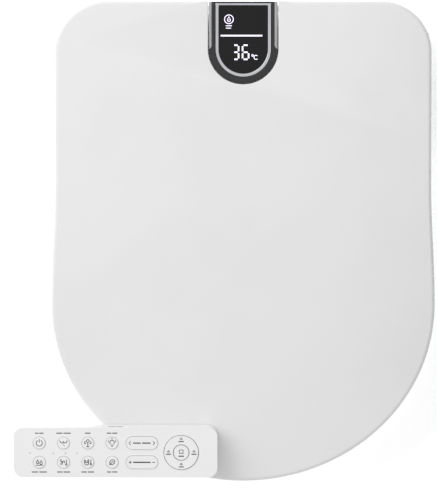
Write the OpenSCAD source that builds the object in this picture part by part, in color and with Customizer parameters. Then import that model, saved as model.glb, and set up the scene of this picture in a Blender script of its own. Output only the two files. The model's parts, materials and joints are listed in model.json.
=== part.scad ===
// Electric bidet seat: a heated seat ring and a lid, both hinged on a washing unit that
// bolts to the rear deck of a toilet bowl, with the remote control lying on the closed lid.
// +Z is up, -Y is the front, and the origin is midway between the two fixing slots, on
// the bowl's deck.

/* [Lid] */
// Greatest width of the lid
lid_w = 395; // [360:1:480]
// Length of the lid, from its rear edge to its tip
lid_len = 494; // [410:1:600]
// Distance that each side swells outwards beyond the straight rear part
lid_swell = 4; // [2:0.5:6]
// Length of the rounded nose, from the widest place to the tip
nose_len = 182; // [150:1:220]
// Length of the straight sides, from the rear edge to where they start to swell
straight_len = 184; // [150:1:220]
// Radius of the rear corners, seen from above
corner_r = 52.5; // [46:0.5:60]
// Distance of the lid's rear edge behind the fixing slots
rear_reach = 46; // [44:1:50]
// Height of the lid's top at the tip
lid_z_front = 58; // [54:1:66]
// Height of the lid's top at the rear edge
lid_z_rear = 120; // [116:1:144]
// Wall of the lid
lid_wall = 3; // [2.4:0.1:3.6]
// Height of the lid's edge behind the hinge
lid_band = 8; // [6:0.5:9]

/* [Hinge] */
// Distance of the hinge axis below the lid's rear edge
hinge_drop = 26; // [24:0.5:27]
// Distance of the hinge axis in front of the lid's rear edge
hinge_back = 26; // [24:0.5:28]
// Radius of the hinge pins
pin_r = 4; // [3:0.25:4.75]
// Radial running clearance of every shaft
run_gap = 0.05; // [0.02:0.01:0.1]
// Thickness of the seat's ears
seat_ear_t = 10; // [8:0.5:12]
// Thickness of the lid's ears
lid_ear_t = 9; // [7:0.5:10]
// Play on each side of an ear
ear_play = 1.5; // [1:0.25:2]

/* [Seat] */
// Height of the seat's top at the tip
seat_z_front = 41; // [38:0.5:43]
// Slope of the seat's top, in degrees
seat_tilt = 4.9; // [4:0.1:5.2]
// Distance of the seat's edge inside the lid's
seat_inset = 3.5; // [3:0.25:5]
// Height of the rubber feet under the seat
foot_h = 12; // [10:0.5:14]
// Height of the joint between the seat's two shells
seat_split = 24; // [20:1:27]
// Wall of the seat's shells
seat_wall = 3; // [2.4:0.1:3.4]
// Width of the ring in front of the opening
rim_front = 63; // [56:1:76]
// Width of the ring beside the opening
rim_side = 92; // [80:1:110]
// Width of the ring behind the opening
rim_rear = 45; // [40:1:52]
// Gap between the seat and the lid's edge
seat_lid_gap = 3; // [2:0.5:4]

/* [Washing unit] */
// Distance of the unit's front wall ahead of the fixing slots
unit_front = 92; // [88:1:100]
// Distance of the unit's upper sides inside the lid's edge
unit_inset = 7.5; // [7:0.25:9]
// Distance of the unit's lower sides inside the lid's edge
tray_inset = 3; // [2.5:0.25:4]
// Height of the joint between tray and cover
tray_h = 30; // [28:1:34]
// Height of the shoulder behind the hinge
shoulder_z = 57; // [54:1:58]
// Wall of the tray and the cover
unit_wall = 3; // [2.4:0.1:3.4]
// Length of the nose that holds the nozzles
snout_len = 18; // [14:1:20]
// Half width of the nose
snout_half = 66; // [64:1:70]
// Thickness of the fixing plate
plate_t = 4; // [3:0.25:4.5]
// Distance between the centres of the fixing slots
slot_pitch = 155; // [140:1:160]
// Width of the fixing slots
slot_w = 9; // [8:0.25:10]
// Length of the fixing slots, end to end
slot_len = 33; // [24:1:36]

/* [Display] */
// Half width of the display's dark frame
disp_r = 35.2; // [32:0.2:38]
// Half width of the bright inner frame
bright_r = 28.7; // [27:0.1:30]
// Half width of the black glass
glass_r = 25.1; // [22:0.1:26]
// Distance of the centre of the round end from the lid's rear edge
disp_back = 49.2; // [46:0.2:52]
// Gap between the lid's notch and the display
notch_gap = 1; // [0.9:0.1:1.6]

/* [Nozzles] */
// Radius of a nozzle tube
nozzle_r = 6.5; // [5.5:0.1:6.8]
// Slope of the nozzles, in degrees
nozzle_tilt = 20; // [18:0.5:22]
// Travel of a nozzle
nozzle_travel = 80; // [60:1:84]
// Distance of each nozzle from the middle
nozzle_x = 11; // [9:0.5:12]
// Size of a gear tooth, as pitch circle diameter per tooth
tooth = 1.25; // [1:0.05:1.3]
// Number of teeth on a drive gear
gear_teeth = 12; // [10:1:14]

/* [Remote] */
// Length of the remote
rem_len = 210; // [190:1:250]
// Width of the remote
rem_w = 52; // [48:1:60]
// Thickness of the remote
rem_t = 22; // [22:0.5:26]
// Radius of the remote's corners
rem_corner = 10; // [6:0.5:14]
// Wall of the remote's case
rem_wall = 2; // [1.6:0.1:2.4]
// Radius of a round key
key_r = 6.2; // [5.5:0.1:8]
// Spacing of the round keys along the remote
key_pitch = 25; // [20:0.5:26]
// Height of a key above the remote's face
key_proud = 0.8; // [0.5:0.1:1.2]
// Radius of the ring key
ring_r = 17.6; // [16:0.1:19]
// Radius of a battery
cell_r = 7.1; // [6:0.05:7.1]

/* [Hidden] */
$fn = 64;

ABS_WHITE = "#e6e6e8";
DARK_CHROME = "#5a5c62";
BRIGHT_CHROME = "#dfe2e6";
BLACK_GLASS = "#0c0c10";
GREY_RUBBER = "#8d9094";
STEEL = "#b4b8bd";
BOARD_GREEN = "#1f5a3a";

big = 900;
y_front = rear_reach - lid_len;
y_nose = y_front + nose_len;
y_swell = rear_reach - straight_len;
half_rear = lid_w / 2 - lid_swell;
corner_x = half_rear - corner_r;
corner_y = rear_reach - corner_r;
lid_slope = (lid_z_rear - lid_z_front) / lid_len;
lid_angle = atan(lid_slope);
seat_slope = tan(seat_tilt);

hinge_y = rear_reach - hinge_back;
hinge_z = lid_z_rear - hinge_drop;
ear_r = 10;
lid_ear_r = 9;
cheek_t = 11;
cheek_x = corner_x + sqrt(pow(corner_r - unit_inset, 2) - pow(hinge_y - corner_y, 2)) - cheek_t;
lid_ear_x = cheek_x - ear_play - lid_ear_t;
mid_wall_t = 4.5;
seat_ear_x = lid_ear_x - ear_play - mid_wall_t - ear_play - seat_ear_t;
case_x = seat_ear_x - ear_play;
pin_x0 = case_x - 11;
pin_x1 = cheek_x + 7.5;

unit_y = -unit_front;
unit_gap = 3.2;
plate_half_x = 104.5;
plate_half_y = 37.5;
bed_x = plate_half_x + 0.5;
bed_y = plate_half_y + 0.5;
plate_lip = 3;
unit_top_front = lid_z_rear - (rear_reach - unit_y) * lid_slope - lid_wall - unit_gap;
barrel_r = 15.5;
unit_rear_wall = 4;
seat_rear = unit_y - 3;
arm_low = 21;
arm_drop = 4;

open_rear = seat_rear - rim_rear;
open_rear_len = 115;
open_y = open_rear - open_rear_len;
open_front_len = open_y - (y_front + rim_front);
open_half = lid_w / 2 - rim_side;

disp_y = rear_reach - disp_back;
disp_end = rear_reach - 0.8;
bright_end = rear_reach - 2.1;
glass_end = rear_reach - 4.7;
strip_w = 3.1;
disp_drop = 0.6;
frame_h = 5;
deck_drop = disp_drop + frame_h;

snout_y = unit_y - snout_len;
snout_gap = 3;
nozzle_z = nozzle_r + 6.5;
bush_top = (tray_h - 2.5 - nozzle_z) * cos(nozzle_tilt) - (snout_len + 1) * sin(nozzle_tilt) - 0.03;
gear_at = 42;
nozzle_len = gear_at + nozzle_travel + 2;
pitch_r = tooth * gear_teeth / 2;
tooth_pitch = PI * tooth;
rack_z = nozzle_r + 1.7;
gear_z = rack_z + pitch_r;
gear_face = 5;
motor_x = 25;
motor_r = 10;
motor_t = 12;

fan_z = 32;
fan_h = 26;
fan_r = 30;
duct_x0 = 43;
fan_x = duct_x0 + 36.87;
fan_y = -34;
duct_w = 20;
duct_h = 15;
duct_z = 7;
duct_back = fan_y - fan_r - 2.2;
lamp_x0 = -54;
lamp_w = 16;
lamp_z = 9;
lamp_h = 8;

side_pocket = case_x + 28;
cart_x0 = side_pocket - 30;
cart_y0 = unit_y + 6;
cart_w = 18;
cart_z0 = 8;
cart_h = 20;
release_x0 = 112;
release_y = 10;
release_z = 16;
half_tray = half_rear - tray_inset;
port_y = -40;
port_z = 25;
port_r = 10.48;
diverter_x = -43;
heater_x1 = diverter_x - 9;
heater_x0 = heater_x1 - 58;
inlet_end = -side_pocket + 24;
inlet_run = heater_x0 - inlet_end;
heater_y = -60;
heater_z0 = 14;
heater_z1 = 62;
spout_in = 14;
pump_x0 = diverter_x - 69;
pump_y = -18;
pump_z = 36;
pump_r = 15;
diverter_y = -15;
diverter_z1 = 64;
board_level = 80;
screw_spots = [[case_x - 9, unit_y + 12], [case_x - 9, hinge_y - 22]];

rem_x = -(lid_w / 2 - 66);
rem_y = y_front + 32.5;
rem_split = 9;
face_t = 2;
board_z = 16.6;
board_t = 1.2;
key_floor = board_z + board_t + 0.9;
key_gap = 0.3;
flange = 1;
key_x0 = -78.5;
key_row = 10;
pill_x = 27.2;
pill_len = 32.6;
pill_w = 13.2;
ring_x = 67.7;
stop_r = 7.8;
cell_len = 50;
cell_x = 44;
door_x0 = 40;
door_w = 34;
door_t = 1.6;

function z_lid(y) = lid_z_rear - (rear_reach - y) * lid_slope;
function z_seat(y) = seat_z_front + (y - y_front) * seat_slope;
function z_arm(y) = z_seat(seat_rear) - arm_low
  + (y - seat_rear) * (hinge_z - ear_r - z_seat(seat_rear) + arm_low) / (hinge_y - seat_rear);

// Outline of the lid seen from above, moved inwards by d: a half ellipse at the front,
// sides that swell by a cosine, and two round rear corners.
function side_x(d, k) = lid_w / 2 - d - lid_swell * (1 - cos(180 * k)) / 2;
function outline(d) = concat(
  [for (t = [180:7.5:360]) [(lid_w / 2 - d) * cos(t), y_nose + (nose_len - d) * sin(t)]],
  [for (k = [0.25:0.25:1]) [side_x(d, k), y_nose + (y_swell - y_nose) * k]],
  [for (t = [0:11.25:90]) [corner_x + (corner_r - d) * cos(t), corner_y + (corner_r - d) * sin(t)]],
  [for (t = [90:11.25:180]) [-corner_x + (corner_r - d) * cos(t), corner_y + (corner_r - d) * sin(t)]],
  [for (k = [1:-0.25:0.25]) [-side_x(d, k), y_nose + (y_swell - y_nose) * k]]
);

// Egg-shaped opening of the seat, grown by g, from two half ellipses.
function egg(g) = [for (t = [0:9:351])
  [(open_half + g) * cos(t), open_y + ((t < 180 ? open_rear_len : open_front_len) + g) * sin(t)]];

// Route of a hose: a smooth curve through its points, four steps to a stretch.
function bend(a, b, c, d, t) = 0.5 * (2 * b + (c - a) * t + (2 * a - 5 * b + 4 * c - d) * t * t
  + (3 * b - a - 3 * c + d) * t * t * t);
function route(p) = let(n = len(p) - 1) concat(
  [for (i = [0:n - 1], t = [0:0.25:0.75])
    bend(p[max(i - 1, 0)], p[i], p[i + 1], p[min(i + 2, n)], t)], [p[n]]);
function unit(v) = v / norm(v);
function hoop(c, dir, r) = let(u = unit(cross(dir, [0.31, 0.2, 0.93])), v = cross(dir, u))
  [for (k = [0:7]) c + r * (u * cos(45 * k) + v * sin(45 * k))];

// Closed solid through a stack of rings with the same number of points.
module skin(rings) {
  n = len(rings[0]);
  m = len(rings);
  walls = [for (j = [0:m - 2], i = [0:n - 1])
    [j * n + i, (j + 1) * n + i, (j + 1) * n + (i + 1) % n, j * n + (i + 1) % n]];
  ends = [[for (i = [0:n - 1]) i], [for (i = [n - 1:-1:0]) (m - 1) * n + i]];
  polyhedron(points = [for (r = rings) each r], faces = concat(walls, ends));
}

module both_sides() {
  children();
  mirror([1, 0, 0]) children();
}

// Extrudes a side view, drawn with Y across and Z up, from x0 to x1.
module along_x(x0, x1) translate([x0, 0, 0]) rotate([90, 0, 90]) linear_extrude(x1 - x0) children();

module x_rod(x0, x1, r, y, z) translate([x0, y, z]) rotate([0, 90, 0]) cylinder(r = r, h = x1 - x0);

module block(x0, x1, y0, y1, z0, z1) translate([x0, y0, z0]) cube([x1 - x0, y1 - y0, z1 - z0]);

module rounded(w, h, r) {
  square([w - 2 * r, h], center = true);
  square([w, h - 2 * r], center = true);
  for (sx = [-1, 1], sy = [-1, 1]) translate([sx * (w / 2 - r), sy * (h / 2 - r)]) circle(r);
}

// ---- Lid ----

module lid_slice(from, to) along_x(-big / 2, big / 2) polygon([
  [-big, z_lid(-big) - from], [big, z_lid(big) - from], [big, z_lid(big) - to], [-big, z_lid(-big) - to]]);

module tomb(r, end) {
  translate([-r, disp_y]) square([2 * r, end - disp_y]);
  translate([0, disp_y]) circle(r);
}

// The lid's outline, moved inwards by d, between a plane above the seat and one d below the lid's top.
module lid_block(d, rise) intersection() {
  linear_extrude(big) polygon(outline(d));
  along_x(-big / 2, big / 2) polygon([[-big, z_seat(-big) + rise], [big, z_seat(big) + rise],
    [big, z_lid(big) - d], [-big, z_lid(-big) - d]]);
}

module lid() color(ABS_WHITE) {
  relief_y = hinge_y - 50;
  ear_end = lid_ear_x + lid_ear_t;
  difference() {
    lid_block(0, seat_lid_gap);
    lid_block(lid_wall, -5);
    along_x(-big / 2, big / 2) polygon([[relief_y, 0], [big, 0], [big, z_lid(big) - lid_band],
      [hinge_y - 5, z_lid(hinge_y - 5) - lid_band], [relief_y, z_seat(relief_y) - 1]]);
    linear_extrude(big) tomb(disp_r + notch_gap, big);
  }
  both_sides() difference() {
    union() {
      x_rod(lid_ear_x, ear_end, lid_ear_r, hinge_y, hinge_z);
      along_x(lid_ear_x, ear_end) polygon([[hinge_y - lid_ear_r, hinge_z], [hinge_y + lid_ear_r, hinge_z],
        [hinge_y + lid_ear_r, z_lid(hinge_y + lid_ear_r) - 1],
        [hinge_y - lid_ear_r, z_lid(hinge_y - lid_ear_r) - 1]]);
    }
    x_rod(lid_ear_x - 1, ear_end + 1, pin_r + run_gap, hinge_y, hinge_z);
  }
}

// Rubber pads between the lid and the seat: stalks under the lid that end just above the seat.
module lid_bumpers() color(GREY_RUBBER)
  for (p = [[open_half - 35, y_front + rim_front * 0.75], [lid_w / 2 - 34, open_rear - 12]])
    both_sides() intersection() {
      translate([p.x, p.y, 0]) cylinder(r = 6, h = big);
      along_x(0, big) polygon([[-big, z_seat(-big) + 0.05], [big, z_seat(big) + 0.05],
        [big, z_lid(big) - lid_wall], [-big, z_lid(-big) - lid_wall]]);
    }

// ---- Seat ----

// Room under the rear of the ring for the nose and what comes out of it.
module snout_room(g) block(-snout_half - 4 - g, snout_half + 4 + g, open_rear - 25, 0,
  -1, tray_h + snout_gap + g);

module seat_outer(d) intersection() {
  linear_extrude(big) polygon(outline(seat_inset + d));
  along_x(-big / 2, big / 2) polygon([[y_front - 1, foot_h + d], [seat_rear - d, foot_h + d],
    [seat_rear - d, z_seat(seat_rear - d) - d], [y_front - 1, z_seat(y_front - 1) - d]]);
}

module seat_opening(g) linear_extrude(big) polygon(egg(g));

module seat_hollow() difference() {
  seat_outer(seat_wall);
  seat_opening(seat_wall);
  snout_room(seat_wall);
}

module seat_arm() difference() {
  union() {
    x_rod(seat_ear_x, seat_ear_x + seat_ear_t, ear_r, hinge_y, hinge_z);
    along_x(seat_ear_x, seat_ear_x + seat_ear_t) polygon([[seat_rear - 1, z_arm(seat_rear - 1)],
      [hinge_y, hinge_z - ear_r], [hinge_y, hinge_z + ear_r],
      [seat_rear - 1, z_seat(seat_rear) - arm_drop]]);
  }
  x_rod(seat_ear_x - 1, seat_ear_x + seat_ear_t + 1, pin_r + run_gap, hinge_y, hinge_z);
}

module seat_top() color(ABS_WHITE) {
  difference() {
    seat_outer(0);
    seat_opening(0);
    snout_room(0);
    seat_hollow();
    block(-big / 2, big / 2, -big, big, -1, seat_split);
  }
  both_sides() seat_arm();
}

module seat_bottom() color(ABS_WHITE) intersection() {
  difference() {
    seat_outer(0);
    seat_opening(0);
    snout_room(0);
    seat_hollow();
  }
  block(-big / 2, big / 2, -big, big, -1, seat_split);
}

// Heating mat just under the seat's top.
module seat_heater() color("#b5653a") intersection() {
  linear_extrude(big) difference() {
    polygon(outline(seat_inset + 14));
    polygon(egg(12));
  }
  along_x(-big / 2, big / 2) polygon([[y_front, z_seat(y_front) - seat_wall - 1],
    [seat_rear - 8, z_seat(seat_rear - 8) - seat_wall - 1],
    [seat_rear - 8, z_seat(seat_rear - 8) - seat_wall - 0.2],
    [y_front, z_seat(y_front) - seat_wall - 0.2]]);
}

module seat_feet() color(GREY_RUBBER)
  for (p = [[open_half - 10, y_front + rim_front], [lid_w / 2 - 48, open_rear - 30]])
    both_sides() translate([p.x, p.y, 0]) cylinder(r = 9, h = foot_h);

// ---- Washing unit: casing ----

module tray_plan(d) intersection() {
  polygon(outline(tray_inset + d));
  translate([-big / 2, unit_y + d]) square([big, big]);
}

module upper_profile(d) {
  polygon([[unit_y + d, shoulder_z - 5], [hinge_y + unit_rear_wall - d, shoulder_z - 5],
    [hinge_y + unit_rear_wall - d, hinge_z], [hinge_y, hinge_z + barrel_r - d],
    [unit_y + d, unit_top_front - d]]);
  translate([hinge_y, hinge_z]) circle(barrel_r - d);
}

module pocket(g) block(side_pocket - g, big, port_y - 22 - g, port_y + 22 + g, 4 - g, 46 + g);

// Room in which a seat arm swings, open at the top and at the front.
module arm_room(x0, x1, g) {
  x_rod(x0, x1, ear_r + ear_play, hinge_y, hinge_z);
  along_x(x0, x1) polygon([[unit_y - 9, z_arm(unit_y - 9) - g], [hinge_y, z_arm(hinge_y) - g],
    [hinge_y + ear_r + ear_play, hinge_z], [hinge_y + ear_r + ear_play, big], [unit_y - 9, big]]);
}

module lid_ear_room() {
  x0 = lid_ear_x - ear_play;
  x1 = lid_ear_x + lid_ear_t + ear_play;
  x_rod(x0, x1, 25.5, hinge_y, hinge_z);
  block(x0, x1, hinge_y - 25.5, big, hinge_z, big);
}

module wing_hollow() intersection() {
  along_x(seat_ear_x + seat_ear_t + ear_play + unit_wall, big) difference() {
    upper_profile(unit_wall);
    translate([hinge_y - 31, 0]) square(big);
  }
  linear_extrude(big) polygon(outline(unit_inset + unit_wall));
}

module base_shell() difference() {
  union() {
    translate([0, 0, tray_h]) linear_extrude(shoulder_z - tray_h) tray_plan(0);
    intersection() {
      translate([0, 0, tray_h]) linear_extrude(big) polygon(outline(unit_inset));
      along_x(-big / 2, big / 2) upper_profile(0);
    }
    difference() {
      translate([0, 0, tray_h]) linear_extrude(big) tomb(disp_r - 0.4, rear_reach - tray_inset);
      lid_slice(-big, deck_drop);
    }
  }
  translate([0, 0, tray_h - 1]) linear_extrude(shoulder_z - unit_wall - tray_h + 1) tray_plan(unit_wall);
  along_x(-case_x + unit_wall, case_x - unit_wall) upper_profile(unit_wall);
  both_sides() wing_hollow();
  difference() {
    translate([0, 0, tray_h]) linear_extrude(big) tomb(disp_r - 3, rear_reach - tray_inset - unit_wall);
    lid_slice(-big, deck_drop + 8.5);
  }
}

module base_cover() color(ABS_WHITE) difference() {
  union() {
    base_shell();
    both_sides() intersection() {
      arm_room(case_x - unit_wall, seat_ear_x + seat_ear_t + ear_play + unit_wall, ear_play + unit_wall);
      block(0, big, unit_y, hinge_y, tray_h, shoulder_z);
    }
    both_sides() intersection() {
      pocket(unit_wall);
      translate([0, 0, tray_h]) linear_extrude(shoulder_z - tray_h) tray_plan(0);
    }
    both_sides() for (p = screw_spots) intersection() {
      translate([p.x, p.y, tray_h]) cylinder(r = 5, h = big);
      along_x(0, big) {
        upper_profile(1);
        translate([unit_y + 1, 0]) square([unit_front, shoulder_z]);
      }
    }
  }
  linear_extrude(big) tomb(glass_r + 0.2, glass_end);
  both_sides() arm_room(case_x, seat_ear_x + seat_ear_t + ear_play, ear_play);
  both_sides() lid_ear_room();
  both_sides() pocket(0);
  both_sides() x_rod(pin_x0, pin_x1, pin_r + run_gap, hinge_y, hinge_z);
  both_sides() for (p = screw_spots) translate([p.x, p.y, 0]) cylinder(r = 1.9, h = tray_h + 14);
  side_ports();
  cartridge_room();
  block(-nozzle_x - 4, nozzle_x + 4, unit_y - 1, unit_y + 4, 0, tray_h + 2);
}

// Holes for the water inlet and the cord gland.
module side_ports() {
  x_rod(-side_pocket - 1, -side_pocket + 5, 9.5, port_y, port_z);
  x_rod(side_pocket - 5, side_pocket + 1, 6.1, port_y, port_z);
}

module cartridge_room() block(cart_x0 - 0.5, big, cart_y0 - 0.5, cart_y0 + cart_w + 0.5,
  cart_z0 - 0.5, cart_z0 + cart_h + 0.5);

module base_tray() color(ABS_WHITE) difference() {
  union() {
    difference() {
      union() {
        linear_extrude(tray_h) tray_plan(0);
        block(-snout_half, snout_half, snout_y, unit_y + 1, 0, tray_h);
      }
      translate([0, 0, unit_wall]) linear_extrude(tray_h) tray_plan(unit_wall);
      block(-snout_half + 2.5, snout_half - 2.5, snout_y + 2.5, unit_y + 4, unit_wall, tray_h - 2.5);
    }
    block(-bed_x - plate_lip, bed_x + plate_lip, -bed_y - plate_lip, bed_y + plate_lip,
      0, plate_t + 0.3 + unit_wall);
    both_sides() intersection() {
      pocket(unit_wall);
      linear_extrude(tray_h) tray_plan(0);
    }
    both_sides() for (p = screw_spots) translate([p.x, p.y, 0]) cylinder(r = 5.5, h = tray_h);
  }
  block(-bed_x, bed_x, -bed_y, bed_y, -1, plate_t + 0.3);
  both_sides() pocket(0);
  side_ports();
  block(-snout_half + 3, snout_half - 3, unit_y, unit_y + 4, unit_wall, tray_h + 1);
  both_sides() for (p = screw_spots) translate([p.x, p.y, -1]) {
    cylinder(r = 2.2, h = tray_h + 2);
    cylinder(r = 3.9, h = 15);
  }
  for (s = [-1, 1]) nozzle_frame(s) {
    translate([0, -30, 0]) rotate([-90, 0, 0]) cylinder(r = nozzle_r + 0.8, h = 45);
    rack_slot();
  }
  block(duct_x0, duct_x0 + duct_w, snout_y - 1, snout_y + 3, duct_z, duct_z + duct_h);
  block(lamp_x0, lamp_x0 + lamp_w, snout_y - 1, snout_y + 3, lamp_z, lamp_z + lamp_h);
  cartridge_room();
  block(release_x0 - 1, big, release_y - 6.3, release_y + 6.3, release_z - 5.3, release_z + 5.3);
}

// ---- Washing unit: fixing ----

module fixing_plate() color(STEEL) {
  difference() {
    block(-plate_half_x, plate_half_x, -plate_half_y, plate_half_y, 0, plate_t);
    both_sides() translate([slot_pitch / 2, 0, -1]) linear_extrude(plate_t + 2)
      rounded(slot_len, slot_w, slot_w / 2 - 0.001);
  }
}

module case_screws() color(STEEL) both_sides() for (p = screw_spots) translate([p.x, p.y, 0]) {
  translate([0, 0, 11]) cylinder(r = 3.6, h = 3);
  translate([0, 0, 14]) cylinder(r = 1.85, h = tray_h - 3);
}

// Button in the unit's right side, on a bar that reaches in over the fixing plate's level.
module release_button() color("#c9cbd0") {
  block(half_rear - 10, half_rear - 1, release_y - 6, release_y + 6, release_z - 5, release_z + 5);
  block(release_x0, half_rear - 9, release_y - 3, release_y + 3, release_z - 3, release_z + 3);
}

// ---- Hinge ----

module hinge_pins() color(STEEL) both_sides() x_rod(pin_x0, pin_x1 - 0.5, pin_r, hinge_y, hinge_z);

module damper(s) color("#3c3f45") mirror([s < 0 ? 1 : 0, 0, 0]) {
  x_rod(pin_x0 - 52, pin_x0, 9.5, hinge_y, hinge_z);
  x_rod(pin_x0 - 44, pin_x0 - 38, 11.5, hinge_y, hinge_z);
}

module seat_damper() damper(-1);

module lid_damper() damper(1);

// ---- Display ----

module display_frame() color(DARK_CHROME) difference() {
  linear_extrude(big) intersection() {
    tomb(disp_r, disp_end);
    union() {
      translate([-disp_r + strip_w, 0]) square([2 * (disp_r - strip_w), big]);
      translate([-big / 2, disp_y - big]) square([big, big]);
      translate([-disp_r + strip_w, -big / 2]) square([2 * (disp_r - strip_w), big]);
    }
  }
  linear_extrude(2 * big) tomb(bright_r, bright_end);
  lid_slice(-big, disp_drop);
  lid_slice(deck_drop, big);
}

module display_bright_frame() color(BRIGHT_CHROME) difference() {
  linear_extrude(big) tomb(bright_r - 0.02, bright_end - 0.02);
  linear_extrude(2 * big) tomb(glass_r, glass_end);
  lid_slice(-big, disp_drop - 0.2);
  lid_slice(deck_drop, big);
}

module display_side_strips() color("#c4c7cd") both_sides() difference() {
  linear_extrude(big) intersection() {
    tomb(disp_r, disp_end);
    translate([disp_r - strip_w + 0.02, disp_y]) square([big, big]);
  }
  lid_slice(-big, disp_drop);
  lid_slice(deck_drop, big);
}

module display_glass() color(BLACK_GLASS) difference() {
  linear_extrude(big) tomb(glass_r - 0.05, glass_end - 0.05);
  lid_slice(-big, disp_drop + 0.3);
  lid_slice(disp_drop + 2.8, big);
}

module display_board() color(BOARD_GREEN) difference() {
  linear_extrude(big) tomb(glass_r - 0.6, glass_end - 0.6);
  lid_slice(-big, deck_drop + 0.6);
  lid_slice(deck_drop + 2.2, big);
}

// ---- Nozzles ----

// Frame of one nozzle: its tip is at the front and its tube runs back along +Y.
module nozzle_frame(s) translate([s * nozzle_x, snout_y - 1, nozzle_z]) rotate([nozzle_tilt, 0, 0])
  children();

// Tooth outline, pointing along +Y from the pitch line.
module tooth_shape() polygon(tooth * [[-0.92, -1.12], [-0.58, 0], [-0.28, 0.88], [0.28, 0.88],
  [0.58, 0], [0.92, -1.12]]);

module nozzle(s) nozzle_frame(s) difference() {
  union() {
    translate([0, 6, 0]) rotate([-90, 0, 0]) cylinder(r = nozzle_r, h = nozzle_len - 6);
    translate([0, 6, 0]) sphere(r = nozzle_r);
    block(-gear_face / 2, gear_face / 2, gear_at - 6, nozzle_len, 0, rack_z - 1.1 * tooth);
    along_x(-gear_face / 2, gear_face / 2)
      for (k = [-1:floor((nozzle_len - gear_at) / tooth_pitch) - 1])
        translate([gear_at + (k + 0.5) * tooth_pitch, rack_z]) tooth_shape();
  }
  for (k = s > 0 ? [0] : [-1, 1]) translate([0, 11 + 1.6 * k, nozzle_r - 1.5]) cylinder(r = 0.7, h = 3);
}

module wash_nozzle() color("#d9dadc") nozzle(-1);

module bidet_nozzle() color("#d9dadc") nozzle(1);

module gear(s) nozzle_frame(s) {
  side = s * (motor_x - nozzle_x);
  difference() {
    translate([-gear_face / 2 - 0.5, gear_at, gear_z]) rotate([90, 0, 90]) linear_extrude(gear_face + 1) {
      circle(pitch_r - tooth);
      for (k = [0:gear_teeth - 1]) rotate(180 + k * 360 / gear_teeth) translate([0, pitch_r]) tooth_shape();
    }
    x_rod(-20, 20, 1, gear_at, gear_z);
  }
  x_rod(min(0, side + s * 5), max(0, side + s * 5), 1.5, gear_at, gear_z);
}

module wash_gear() color("#e8e4d4") gear(-1);

module bidet_gear() color("#e8e4d4") gear(1);

module nozzle_motors() color(STEEL) for (s = [-1, 1]) nozzle_frame(s) difference() {
  translate([s > 0 ? motor_x - nozzle_x : -motor_x + nozzle_x - motor_t, 0, 0])
    x_rod(0, motor_t, motor_r, gear_at, gear_z);
  x_rod(-motor_x - 5, motor_x + 5, 1.5 + run_gap, gear_at, gear_z);
}

module rack_slot() block(-gear_face / 2 - 0.5, gear_face / 2 + 0.5, -30, 60, 0, rack_z + tooth);

// Tray that guides both tubes: a front bush up to the snout's roof, two side walls and a rear stop.
module nozzle_cradle() color("#f0f0ee") translate([0, snout_y - 1, nozzle_z]) rotate([nozzle_tilt, 0, 0])
  difference() {
    union() {
      block(-motor_x + 4, motor_x - 4, 12, nozzle_len + 8, -nozzle_r - 3.5, -nozzle_r - 0.5);
      block(-motor_x + 4, motor_x - 4, 20, 28, -nozzle_r - 3, bush_top);
      block(-motor_x + 4, motor_x - 4, nozzle_len + 4, nozzle_len + 8, -nozzle_r - 3, nozzle_r + 4);
      both_sides() block(motor_x - 4, motor_x - 1, 12, nozzle_len + 8, -nozzle_r - 3.5, 4);
      both_sides() block(motor_x - 4, motor_x - 1, gear_at - 9, gear_at + 9, 3, gear_z + 6);
    }
    for (s = [-1, 1]) translate([s * nozzle_x, 0, 0]) {
      translate([0, 10, 0]) rotate([-90, 0, 0]) cylinder(r = nozzle_r + run_gap, h = nozzle_len - 8);
      rack_slot();
    }
    x_rod(-motor_x - 5, motor_x + 5, 1.5 + run_gap, gear_at, gear_z);
  }

// ---- Water ----

module inlet_valve() color("#b9a36a") difference() {
  union() {
    x_rod(-half_tray + 1, -side_pocket - 2, port_r, port_y, port_z);
    x_rod(-side_pocket - 2, -side_pocket - 0.1, 13, port_y, port_z);
    x_rod(-side_pocket - 0.2, -side_pocket + 7, 9.3, port_y, port_z);
    block(-side_pocket + 3.2, inlet_end, port_y - 15, port_y + 15, port_z - 12, port_z + 12);
    translate([-side_pocket + 13, port_y, port_z + 10]) cylinder(r = 9, h = 10);
  }
  x_rod(-half_tray, -side_pocket - 2, 6.5, port_y, port_z);
}

module water_heater() color("#9aa0a6") {
  block(heater_x0, heater_x1, heater_y - 16, heater_y + 16, heater_z0, heater_z1);
  for (x = [heater_x0 + spout_in, heater_x1 - spout_in])
    translate([x, heater_y, heater_z1]) cylinder(r = 5, h = 6);
}

module air_pump() color("#4a4d52") {
  x_rod(pump_x0, pump_x0 + 36, pump_r - 3, pump_y, pump_z);
  x_rod(pump_x0 + 36, pump_x0 + 50, pump_r, pump_y, pump_z);
}

module diverter_valve() color("#d8d2c0") {
  block(diverter_x - 7, diverter_x + 7, diverter_y - 15, diverter_y + 15, diverter_z1 - 30, diverter_z1);
  x_rod(diverter_x - 19, diverter_x - 7, 8, diverter_y, diverter_z1 - 10);
}

module hose(points, r) {
  p = route(points);
  n = len(p) - 1;
  skin([for (i = [0:n]) hoop(p[i], unit(p[min(i + 1, n)] - p[max(i - 1, 0)]), r)]);
}

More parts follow.
